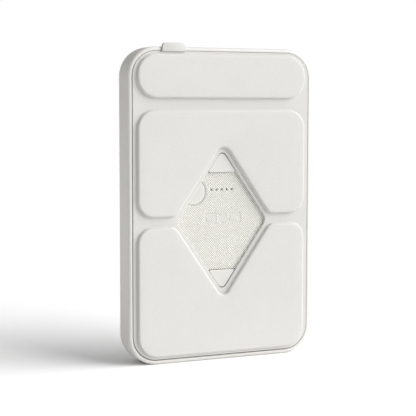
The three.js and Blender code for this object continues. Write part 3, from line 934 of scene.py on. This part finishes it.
# ---------- Fold-out cover ----------
@dataclass
class Cover:
    """The fold-out cover: one grained skin over three raised panels, its lining and the pull tab."""

    left: float = -31.91
    right: float = 32.19
    bottom: float = 1.57
    top: float = 103.67
    corner: float = 8.23
    panel_half_width: float = 30.5
    panel_end_margin: float = 0.95
    lower_crease: float = 47.4
    lower_crease_width: float = 3.45
    upper_crease: float = 86.3
    upper_crease_width: float = 3.9
    root_round: float = 0.35
    edge_round: float = 0.17
    window_edge_round: float = 0.2
    border: float = 0.6
    window_border: float = 0.5
    lining_inset: float = 0.02
    lining_round: float = 0.12
    strip_margin: float = 0.55
    crease_cuts: int = 9
    tab_left: float = -21.95
    tab_right: float = -13.6
    tab_bottom: float = 103.38
    tab_top: float = 106.3
    tab_hook_end: float = 105.5
    tab_hook_inside: float = 105.1
    tab_rim_top: float = 105.05
    tab_corner: float = 1.3
    tab_corner_steps: int = 8
    tab_taper: float = 0.3
    tab_taper_start: float = 102.85

    def outline(self) -> Outline:
        """The cover's outline."""
        return box_outline(self.left, self.right, self.bottom, self.top, self.corner, steps=16)

    def crease_edges(self) -> tuple[float, float, float, float]:
        """The bottom and top of the lower crease, then of the upper one."""
        lower = self.lower_crease_width / 2
        upper = self.upper_crease_width / 2
        return (
            self.lower_crease - lower,
            self.lower_crease + lower,
            self.upper_crease - upper,
            self.upper_crease + upper,
        )

    def panels(self) -> list[Outline]:
        """The outlines of the lower, middle and top raised panels."""
        side = self.panel_half_width
        low = self.bottom + self.panel_end_margin
        crease_low, crease_high, top_low, top_high = self.crease_edges()
        notch_low = WINDOW.notch_half_width(crease_low)
        notch_high = WINDOW.notch_half_width(crease_high)
        lower = (
            (-side, low, 7.0),
            (side, low, 7.0),
            (side, crease_low, 5.0),
            (notch_low, crease_low, 3.0),
            (0, WINDOW.centre - WINDOW.tip_rise(), 2.4),
            (-notch_low, crease_low, 3.0),
            (-side, crease_low, 5.0),
        )
        middle = (
            (-side, crease_high, 5.5),
            (-notch_high, crease_high, 3.0),
            (0, WINDOW.centre + WINDOW.tip_rise(), 2.9),
            (notch_high, crease_high, 3.0),
            (side, crease_high, 5.5),
            (side, top_low, 6.0),
            (-side, top_low, 6.0),
        )
        upper = box_outline(-side, side, top_high, self.top - self.panel_end_margin, 6.8, 6.7, 10)
        return [Outline(lower, 10), Outline(middle, 10), upper]

    def raised_profile(self) -> list[tuple[float, float]]:
        """The front of a raised panel: a root fillet, a soft shoulder and a slight crown."""
        corners = [
            (-self.root_round, LEVELS.flange, 0),
            (0, LEVELS.flange, self.root_round),
            (0.08, LEVELS.puff + 0.1, 0.66),
            (1.5, LEVELS.puff + 0.06, 0),
        ]
        return [*rounded_profile(corners, 7), (2.6, LEVELS.puff + 0.025), (4.2, LEVELS.puff)]

    def hollow_profile(self) -> list[tuple[float, float]]:
        """The back of a raised panel, where the stiffener lies."""
        return [(0.55, LEVELS.skin_back), (0.75, -5.55), (1.1, -5.72), (1.6, -5.78)]

    def skin(self) -> Mesh:
        """The whole skin as one closed sheet, before it is divided at the creases."""
        bm = bmesh.new()
        front = LEVELS.flange
        back = LEVELS.skin_back
        reach = self.border
        edge = [(reach, front, 0), (0, front, self.edge_round), (0, back, 0), (reach, back, 0)]
        fronts, backs = ([ring] for ring in sweep(bm, self.outline(), rounded_profile(edge, 4)))
        reach = -self.window_border
        edge = [(reach, front, 0), (0, front, self.window_edge_round), (0, back, 0), (reach, back, 0)]
        window_front, window_back = sweep(bm, WINDOW.outline(), rounded_profile(edge, 4))
        fronts.append(window_front)
        backs.append(window_back)
        for panel in self.panels():
            for rings, profile in ((fronts, self.raised_profile()), (backs, self.hollow_profile())):
                base, end = sweep(bm, panel, profile)
                fill(bm, end)
                rings.append(base)
        fill(bm, *fronts)
        fill(bm, *backs)
        return bm

    def lining(self) -> Mesh:
        """The whole lining as one closed sheet."""
        bm = bmesh.new()
        corners = [
            (self.border, LEVELS.lining_front, 0),
            (self.lining_inset, LEVELS.lining_front, 0),
            (self.lining_inset, LEVELS.lining_back, self.lining_round),
            (self.border, LEVELS.lining_back, 0),
        ]
        edge = rounded_profile(corners, 3)
        outer = sweep(bm, self.outline(), edge)
        window = sweep(bm, WINDOW.outline(), [(-inset, depth) for inset, depth in edge])
        for rings in zip(outer, window):
            fill(bm, *rings)
        return bm

    def bands(self) -> list[tuple[str, float, float, tuple[str, ...]]]:
        """The cover's divisions: name, lowest and highest height, and the bodies they follow."""
        margin = self.strip_margin
        crease_low, crease_high, top_low, top_high = self.crease_edges()
        cuts = [-5.0, crease_low + margin, crease_high - margin]
        cuts.extend((top_low + margin, top_high - margin, self.top + 5))
        names = ("lower", "lower_crease", "middle", "upper_crease", "top")
        panels = ("lower_panel", "middle_panel", "top_panel")
        bodies = (panels[:1], panels[:2], panels[1:2], panels[1:], panels[2:])
        return list(zip(names, cuts, cuts[1:], bodies))

    def divide(self, whole: Mesh, layer: str, finish: Finishes) -> None:
        """Cuts a whole sheet into its divisions; each panel's division follows its panel, and each crease
        strip gets extra cuts across it and stays in place on no body.

        Args:
            whole: The closed sheet, which is freed.
            layer: Name of the layer, as in the model's nodes.
            finish: Its finish.
        """
        for name, low, high, bodies in self.bands():
            bm = whole.copy()
            keep_between(bm, low, high)
            if len(bodies) == 1:
                publish(bm, f"{name}_{layer}", finish, [f"{name}_cover_{layer}"], bodies[0])
                continue
            for step in range(1, self.crease_cuts):
                cut_level(bm, low + (high - low) * step / self.crease_cuts)
            piece = publish(bm, f"{name}_{layer}", finish, [], None)
            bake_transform(piece)
        whole.free()

    def build(self) -> None:
        """Builds the skin, the lining and the pull tab."""
        self.divide(self.skin(), "skin", Finishes.COVER)
        self.divide(self.lining(), "lining", Finishes.LINING)
        self.build_tab()

    def build_tab(self) -> None:
        """Builds the pull tab: a tongue that leaves the flange, crosses the rim and hooks over it."""
        bm = bmesh.new()
        bottom = self.tab_bottom
        root = LEVELS.flange + 0.2
        under = LEVELS.rim - 0.06
        end = LEVELS.rim + 0.95
        corners = (
            (root, bottom, 0),
            (root, bottom + 0.3, 0),
            (under, bottom + 0.45, 0.1),
            (under, self.tab_rim_top, 0.16),
            (LEVELS.rim + 0.3, self.tab_hook_inside, 0.2),
            (end, self.tab_hook_end, 0.2),
            (end, self.tab_top, 0.4),
            (LEVELS.rim - 0.7, self.tab_top, 0.34),
            (LEVELS.rim - 0.58, bottom + 0.1, 0.3),
            (LEVELS.flange + 0.05, bottom, 0),
        )
        slab(bm, Outline(corners, 5), self.tab_left, self.tab_right, plane=Plane.SIDE)
        self.round_tab(bm)
        publish(bm, "pull_tab_loop", Finishes.COVER, ["pull_tab"], "top_panel")

    def round_tab(self, bm: Mesh) -> None:
        """Narrows the tab a little upwards, and rounds its two upper corners.

        Args:
            bm: The mesh, in millimetres.
        """
        start = self.tab_top - self.tab_corner
        for step in range(self.tab_corner_steps):
            share = step / self.tab_corner_steps
            cut_level(bm, start + self.tab_corner * math.sin(math.pi / 2 * share))
        middle = (self.tab_left + self.tab_right) / 2
        half = (self.tab_right - self.tab_left) / 2
        foot = self.tab_taper_start
        for vert in bm.verts:
            rise = min(max(vert.co.z - start, 0) / self.tab_corner, 1)
            inward = self.tab_corner * (1 - math.sqrt(1 - rise * rise))
            taper = self.tab_taper * (vert.co.z - foot) / (self.tab_top - foot)
            vert.co.x = middle + (vert.co.x - middle) * (half - inward - taper) / half


# ---------- Insert, pads, button and lights ----------
@dataclass
class Insert:
    """The textured moulding in the window, with its pads, its power button and its lights."""

    half_width: float = 18.0
    bottom: float = 20.75
    top: float = 73.75
    corner: float = 4.0
    lip: float = 1.0
    hole_chamfer: float = 0.06
    bump_pitch: float = 0.58
    bump_radius: float = 0.2
    bump_height: float = 0.26
    bump_root: float = 0.04
    bump_start: float = 0.6
    bump_border: float = 0.45
    button_x: float = -10.1
    button_height: float = 57.05
    button_radius: float = 4.35
    button_gap: float = 0.1
    button_flange: float = 0.6
    button_stem_end: float = -1.56
    light_height: float = 57.65
    light_shift: float = 0.25
    light_pitch: float = 1.87
    light_radius: float = 0.34
    light_hole: float = 0.365
    upper_pad_height: float = 6.2
    lower_pad_height: float = 5.75
    pad_gap: float = 0.14
    pad_proud: float = 0.9
    pad_seat: float = 0.35
    pad_pocket: float = 0.17
    sign_x: float = 0.5
    sign_height: float = 47.9
    sign_half_width: float = 6.3
    sign_half_height: float = 1.3
    sign_box: float = 3.9
    sign_stroke: float = 0.5
    sign_relief: float = 0.01
    arrow_pitch: float = 1.05
    arrow_depth: float = 0.8

    def light_places(self) -> list[float]:
        """Where the lights are across the body."""
        return [self.light_shift + step * self.light_pitch for step in range(-2, 3)]

    def pad_outline(self, side: int) -> Outline:
        """The triangular pad in the window's upper (+1) or lower (-1) corner.

        Args:
            side: +1 for the upper pad, -1 for the lower one.

        Returns:
            The outline.
        """
        slope = math.hypot(WINDOW.half_width, WINDOW.half_height)
        tip = WINDOW.half_height - self.pad_gap * slope / WINDOW.half_width
        crown = WINDOW.end_round * (slope / WINDOW.half_width - 1)
        base = tip - crown - (self.upper_pad_height if side > 0 else self.lower_pad_height)
        half_base = (tip - base) * WINDOW.half_width / WINDOW.half_height
        corners = (
            (0, WINDOW.centre + side * tip, WINDOW.end_round),
            (-side * half_base, WINDOW.centre + side * base, 0.5),
            (side * half_base, WINDOW.centre + side * base, 0.5),
        )
        return Outline(corners, 8)

    def build(self) -> None:
        """Builds the insert, its pads, the button and the light guide."""
        self.build_plate()
        self.build_pads()
        self.build_button()
        self.build_guide()

    def build_plate(self) -> None:
        """Builds the plate with its holes, pockets, fine bumps and pictogram."""
        bm = bmesh.new()
        wide = self.half_width
        front = LEVELS.recess
        step = LEVELS.inside + 0.1
        plate = box_outline(-wide, wide, self.bottom, self.top, self.corner, steps=10)
        profile = [(0.12, front), (0, front + 0.1), (0, step), (-self.lip, step)]
        borders = [sweep(bm, plate, [*profile, (-self.lip, LEVELS.insert_back)])]
        radius = self.button_radius + self.button_gap
        holes = [disc_outline(x, self.light_height, self.light_hole, 4) for x in self.light_places()]
        holes.append(disc_outline(self.button_x, self.button_height, radius, 12))
        edge = self.hole_chamfer
        profile = [(-edge, front), (0, front + edge), (0, LEVELS.insert_back)]
        borders.extend(sweep(bm, hole, profile) for hole in holes)
        fronts, backs = zip(*borders)
        pockets = []
        for side in (-1, 1):
            outline = self.pad_outline(side).inset(-self.pad_pocket)
            pocket, ceiling = sweep(bm, outline, [(0, front), (0, front + self.pad_seat)])
            fill(bm, ceiling)
            pockets.append(pocket)
        fill(bm, *fronts, *pockets)
        fill(bm, *backs)
        self.add_bumps(bm)
        self.add_sign(bm)
        publish(bm, "textured_plate", Finishes.INSERT, ["textured_insert"])

    def add_bumps(self, bm: Mesh) -> None:
        """Covers the plate with a diagonal field of fine bumps, clear of everything on it.

        Args:
            bm: The mesh, in millimetres.
        """
        bumps = bmesh.new()
        spacing = self.bump_pitch * math.sqrt(2)
        depth = self.bump_height + self.bump_root
        turn = Matrix.Rotation(math.radians(90), 4, "X") @ Matrix.Rotation(math.radians(45), 4, "Z")
        start = self.bump_start
        middle = LEVELS.recess + self.bump_root - depth / 2
        place = Matrix.Translation((-self.half_width + start, middle, self.bottom + start))
        for shift in (0.0, spacing / 2):
            bmesh.ops.create_cone(
                bumps,
                cap_ends=True,
                segments=4,
                radius1=self.bump_radius * 1.5,
                radius2=self.bump_radius * 0.75,
                depth=depth,
                matrix=Matrix.Translation((shift, 0, shift)) @ place @ turn,
            )
        for direction, reach in (((1, 0, 0), 2 * self.half_width), ((0, 0, 1), self.top - self.bottom)):
            count = 1
            while count * spacing < reach:
                copies = bmesh.ops.duplicate(bumps, geom=[*bumps.verts, *bumps.edges, *bumps.faces])
                fresh = [item for item in copies["geom"] if isinstance(item, bmesh.types.BMVert)]
                bmesh.ops.translate(bumps, verts=fresh, vec=Vector(direction) * count * spacing)
                count *= 2
        front = LEVELS.recess - self.bump_height * 0.9
        spare = set()
        for face in bumps.faces:
            centre = face.calc_center_median()
            if centre.y < front and not self.clear(centre.x, centre.z):
                spare.update(face.verts)
                spare.update(edge.other_vert(vert) for vert in face.verts for edge in vert.link_edges)
        bmesh.ops.delete(bumps, geom=list(spare), context="VERTS")
        add_mesh(bm, bumps)

    def clear(self, x: float, z: float) -> bool:
        """True where a bump has the plain plate to itself.

        Args:
            x: Place across the plate.
            z: Height on the plate.

        Returns:
            False over a hole, a pad, a border or the pictogram.
        """
        border = self.bump_border
        if abs(x) > self.half_width - border or not self.bottom + border < z < self.top - border:
            return False
        out_x = max(abs(x) - self.half_width + self.corner, 0)
        out_z = max(self.bottom + self.corner - z, z - self.top + self.corner, 0)
        if math.hypot(out_x, out_z) > self.corner - border:
            return False
        button_room = self.button_radius + self.button_gap + self.bump_radius + 0.12
        if math.hypot(x - self.button_x, z - self.button_height) < button_room:
            return False
        light_room = self.light_hole + 0.24
        if any(math.hypot(x - light, z - self.light_height) < light_room for light in self.light_places()):
            return False
        rise = abs(z - WINDOW.centre)
        pad_base = WINDOW.half_height - self.upper_pad_height - 1.35
        limit = (WINDOW.half_height + 0.55 - rise) * WINDOW.half_width / WINDOW.half_height
        return not (rise > pad_base and abs(x) < limit + 0.2) and not self.on_sign(x, z)

    def sign_strokes(self) -> list[tuple[tuple[float, float], tuple[float, float]]]:
        """The pictogram's strokes: a battery, three arrow heads, and a phone lying down."""
        low = self.sign_height - self.sign_half_height
        high = self.sign_height + self.sign_half_height
        left = self.sign_x - self.sign_half_width
        right = self.sign_x + self.sign_half_width
        strokes = []
        for start, end in ((left, left + self.sign_box), (right - self.sign_box, right)):
            corners = [(start, low), (end, low), (end, high), (start, high)]
            strokes.extend(zip(corners, [*corners[1:], corners[0]]))
        cap = left + self.sign_box + 2 * self.sign_stroke
        strokes.append(((cap, low + 0.8), (cap, high - 0.8)))
        for step in (-1, 0, 1):
            tip = (self.sign_x + 0.45 + step * self.arrow_pitch, self.sign_height)
            for edge in (low + 0.2, high - 0.2):
                strokes.append(((tip[0] - self.arrow_depth, edge), tip))
        return strokes

    def on_sign(self, x: float, z: float) -> bool:
        """True on or right beside a stroke of the pictogram.

        Args:
            x: Place across the plate.
            z: Height on the plate.

        Returns:
            True if a bump there would touch a stroke.
        """
        place = Vector((x, z))
        reach = self.sign_stroke / 2 + 0.2
        for start, end in self.sign_strokes():
            along = Vector(end) - Vector(start)
            share = min(max((place - Vector(start)).dot(along) / along.length_squared, 0), 1)
            if (Vector(start) + along * share - place).length < reach:
                return True
        return False

    def add_sign(self, bm: Mesh) -> None:
        """Adds the strokes of the pictogram as low, smooth ridges.

        Args:
            bm: The mesh, in millimetres.
        """
        # The strokes sit just in front of the recess level, so the insert's painted pit shade darkens them.
        front = LEVELS.recess - self.sign_relief
        half = self.sign_stroke / 2
        for index, (start, end) in enumerate(self.sign_strokes()):
            along = Vector((end[0] - start[0], end[1] - start[1]))
            reach = (along.length + self.sign_stroke) / 2
            bar = box_outline(-reach, reach, -half, half, half * 0.9, steps=3)
            ridge = bmesh.new()
            solid(ridge, bar, [(0, front - 0.0005 * index), (0, LEVELS.recess + 0.05)])
            middle = ((start[0] + end[0]) / 2, 0, (start[1] + end[1]) / 2)
            turn = Matrix.Rotation(-math.atan2(along.y, along.x), 4, "Y")
            bmesh.ops.transform(ridge, matrix=Matrix.Translation(middle) @ turn, verts=ridge.verts)
            add_mesh(bm, ridge)

    def build_pads(self) -> None:
        """Builds the two triangular pads."""
        front = LEVELS.recess - self.pad_proud
        back = LEVELS.recess + self.pad_seat - 0.05
        for side, name in ((1, "upper_stand_pad"), (-1, "lower_stand_pad")):
            bm = bmesh.new()
            slab(bm, self.pad_outline(side), front, back, 0.16, 0.05, steps=5)
            publish(bm, f"smooth_{name}", Finishes.PAD, [name])

    def build_button(self) -> None:
        """Builds the power button: a cap with a faint dish, its retaining flange and its stem."""
        bm = bmesh.new()
        back = LEVELS.insert_back + 0.55
        flange = back - 0.4
        stem = self.button_radius - 1
        profile = [
            (3.4, LEVELS.recess + 0.06, 0),
            (1.2, LEVELS.recess + 0.01, 0),
            (0, LEVELS.recess, 0.16),
            (0, flange, 0),
            (-self.button_flange, flange, 0),
            (-self.button_flange, back, 0),
            (stem, back, 0),
            (stem, self.button_stem_end, 0),
        ]
        disc = disc_outline(self.button_x, self.button_height, self.button_radius, 16)
        solid(bm, disc, rounded_profile(profile, 4))
        publish(bm, "power_button_cap", Finishes.BUTTON, ["power_button"], "button")

    def build_guide(self) -> None:
        """Builds the light guide: a bar behind the insert with five domed pegs."""
        bm = bmesh.new()
        low, high = node_box("light_guide")
        slab(bm, box_outline(low.x, high.x, low.z, high.z, 0.25, steps=4), high.y - 0.6, high.y)
        dome = [(0.3, low.y, 0), (0.2, low.y, 0), (0, low.y + 0.12, 0.1), (0, high.y - 0.3, 0)]
        for x in self.light_places():
            peg = disc_outline(x, self.light_height, self.light_radius, 5)
            solid(bm, peg, rounded_profile(dome, 3))
        publish(bm, "light_guide_pegs", Finishes.LIGHT_GUIDE, ["light_guide"])


# ---------- Phone side ----------
@dataclass
class PhoneSide:
    """The phone side's cover plate with its snap hooks, and the soft pad with its ring mark."""

    shell: Shell
    plate_inset: float = 4.1
    pad_inset: float = 5.3
    seat_inset: float = 5.1
    seat_depth: float = 5.65
    ring_height: float = 70.0
    ring_radius: float = 25.2
    ring_width: float = 0.5
    ring_depth: float = 0.12
    bar_bottom: float = 18.0
    bar_top: float = 37.0
    bar_half_width: float = 0.25
    hook_heights: tuple[float, ...] = (20.0, 44.0, 90.0)
    hook_half_length: float = 3.0
    hook_thickness: float = 0.8
    hook_catch: float = 0.9

    def build(self) -> None:
        """Builds the plate and the pad."""
        self.build_plate()
        self.build_pad()

    def build_plate(self) -> None:
        """Builds the cover plate with the pad's seat and the hooks."""
        bm = bmesh.new()
        profile = [
            (12, LEVELS.plate, 0),
            (self.plate_inset, LEVELS.plate, 0),
            (self.plate_inset, LEVELS.phone_side, 0.15),
            (self.seat_inset, LEVELS.phone_side, 0.12),
            (self.seat_inset, self.seat_depth, 0),
            (12, self.seat_depth, 0),
        ]
        solid(bm, self.shell.outline(), rounded_profile(profile, 4))
        for height in self.hook_heights:
            for side in (-1, 1):
                self.add_hook(bm, side, height)
        publish(bm, "phone_side_plate", Finishes.SHELL, ["phone_side_cover"])

    def add_hook(self, bm: Mesh, side: int, height: float) -> None:
        """Adds one snap hook, an arm through the throat and a catch under the ledge.

        Args:
            bm: The mesh, in millimetres.
            side: +1 for the right side, -1 for the left one.
            height: Height of its middle.
        """
        outer = self.shell.half_width - self.shell.ledge - 0.3
        inner = side * (outer - self.hook_thickness)
        end = LEVELS.ledge - 0.7
        arm = (side * outer, end + 0.02, LEVELS.plate + 0.02)
        catch = (side * (outer + self.hook_catch), end, LEVELS.ledge - 0.2)
        for reach, front, back in (arm, catch):
            left, right = sorted((inner, reach))
            half = self.hook_half_length
            block = box_outline(left, right, height - half, height + half, 0.1, steps=2)
            solid(bm, block, [(0, front), (0, back)])

    def build_pad(self) -> None:
        """Builds the soft pad, with a shallow groove that shows where the magnets are."""
        bm = bmesh.new()
        front = self.seat_depth + 0.05
        face = LEVELS.pad_face
        floor = face - self.ring_depth
        inset = self.pad_inset
        profile = [(8, front, 0), (inset, front, 0), (inset, face, 0.18), (inset + 0.8, face, 0)]
        back, border = sweep(bm, self.shell.outline(), rounded_profile(profile, 4))
        fill(bm, back)
        half = self.ring_width / 2
        groove = [(-half, face), (-half + 0.12, floor), (half - 0.12, floor), (half, face)]
        ring = disc_outline(0, self.ring_height, self.ring_radius, 24)
        outer, inner = sweep(bm, ring, groove)
        half = self.bar_half_width
        bar = box_outline(-half, half, self.bar_bottom, self.bar_top, half, steps=6)
        bar_outer, bar_inner = sweep(bm, bar, [(-0.08, face), (0.06, floor)])
        fill(bm, bar_inner)
        fill(bm, border, outer, bar_outer)
        fill(bm, inner)
        publish(bm, "soft_phone_pad_sheet", Finishes.PHONE_PAD, ["phone_pad"])


# ---------- Port ----------
@dataclass
class Port:
    """The charging receptacle in the right side wall: a drawn steel shell and its tongue."""

    wall: float = 0.3
    floor: float = 0.4

    def build(self) -> None:
        """Builds the receptacle's shell and its tongue."""
        low, high = node_box("usb_c_shell")
        half = (high.y - low.y) / 2
        stadium = box_outline(low.y, high.y, low.z, high.z, half * 0.998, steps=10)
        bm = bmesh.new()
        profile = [
            (1.2, low.x, 0),
            (0, low.x, 0.3),
            (0, high.x, 0.08),
            (self.wall, high.x, 0.08),
            (self.wall, low.x + self.floor, 0),
            (1.2, low.x + self.floor, 0),
        ]
        solid(bm, stadium, rounded_profile(profile, 3), Plane.SIDE)
        publish(bm, "port_shell", Finishes.STEEL, ["usb_c_shell"])
        low, high = node_box("usb_c_tongue")
        bm = bmesh.new()
        blade = box_outline(low.y, high.y, low.z, high.z, 0.2, steps=3)
        slab(bm, blade, low.x, high.x, 0.05, 0.15, Plane.SIDE)
        publish(bm, "port_tongue", Finishes.BLACK_PLASTIC, ["usb_c_tongue"])


# ---------- Pieces carried over from the model ----------
def dress_inner_parts() -> None:
    """Gives every part that keeps its modelled shape the first finish of its material slot."""
    slots = {entry["node"]: entry["material_slot"] for entry in frame["record"]["subparts"]}
    for name, part in frame["nodes"].items():
        if part.hide_render:
            continue
        next(finish for finish in Finishes if finish.value.slot == slots[name]).dress(part)
        log.info("%s keeps its shape, in %s", name, slots[name])


# ---------- Studio ----------
@dataclass
class Studio:
    """The floor, the lights and the camera, in metres."""

    lens: float = 100.32
    sensor: float = 36.0
    camera_place: tuple[float, float, float] = (-0.15842, -0.36043, 0.08496)
    camera_target: tuple[float, float, float] = (-0.00071, 0.00556, 0.05066)
    camera_roll: float = 0.086
    floor_half: float = 3.0
    floor_drop: float = 0.00003
    surround: float = 0.42
    key_power: float = 4.0
    key_angle: float = 60.0
    key_place: tuple[float, float, float] = (0.72, -0.5, 0.5)

    def build(self) -> None:
        """Builds the whole studio."""
        self.build_floor()
        self.build_lights()
        self.build_camera()

    def build_floor(self) -> None:
        """A plain pale floor."""
        bm = bmesh.new()
        bmesh.ops.create_grid(bm, x_segments=1, y_segments=1, size=self.floor_half)
        bmesh.ops.translate(bm, verts=bm.verts, vec=(0, 0, -self.floor_drop))
        add_object(bm, "floor", Finishes.FLOOR)

    def build_lights(self) -> None:
        """A white surround and one soft lamp from the upper right."""
        world = bpy.data.worlds.new("studio")
        world.use_nodes = True
        tree = world.node_tree
        seen = add_node(tree, "ShaderNodeLightPath", {}).outputs["Is Camera Ray"]
        limits = {"To Min": self.surround, "To Max": 1.0, "Value": seen}
        strength = add_node(tree, "ShaderNodeMapRange", limits).outputs["Result"]
        connect(tree, tree.nodes["Background"], {"Color": (1, 1, 1, 1), "Strength": strength})
        bpy.context.scene.world = world
        lamp = bpy.data.lights.new("key", "SUN")
        lamp.energy = self.key_power
        lamp.angle = math.radians(self.key_angle)
        self.point("key", lamp, self.key_place, (0, 0, 0))

    def build_camera(self) -> None:
        """A long lens, a little to the left and slightly above the middle."""
        camera = bpy.data.cameras.new("camera")
        camera.sensor_width = self.sensor
        camera.lens = self.lens
        camera.clip_start = 0.01
        holder = self.point("camera", camera, self.camera_place, self.camera_target)
        holder.matrix_world @= Matrix.Rotation(math.radians(self.camera_roll), 4, "Z")
        bpy.context.scene.camera = holder

    @staticmethod
    def point(name: str, data: bpy.types.ID, place: Corner, target: Corner) -> bpy.types.Object:
        """Adds a lamp or a camera to the scene, turned towards a target.

        Args:
            name: Name of the object.
            data: The lamp or camera.
            place: Where it stands.
            target: What it looks at.

        Returns:
            The object.
        """
        holder = bpy.data.objects.new(name, data)
        aim = Vector(target) - Vector(place)
        turn = aim.to_track_quat("-Z", "Y").to_matrix().to_4x4()
        holder.matrix_world = Matrix.Translation(place) @ turn
        bpy.context.scene.collection.objects.link(holder)
        return holder


def main() -> None:
    """Builds the power bank, then the studio round it."""
    logging.basicConfig(level=logging.INFO, format="%(message)s")
    shell = Shell()
    for part in (shell, Cover(), Insert(), PhoneSide(shell), Port()):
        part.build()
    dress_inner_parts()
    Studio().build()
    bpy.context.scene.view_settings.view_transform = "Standard"


if __name__ == "__main__":
    main()
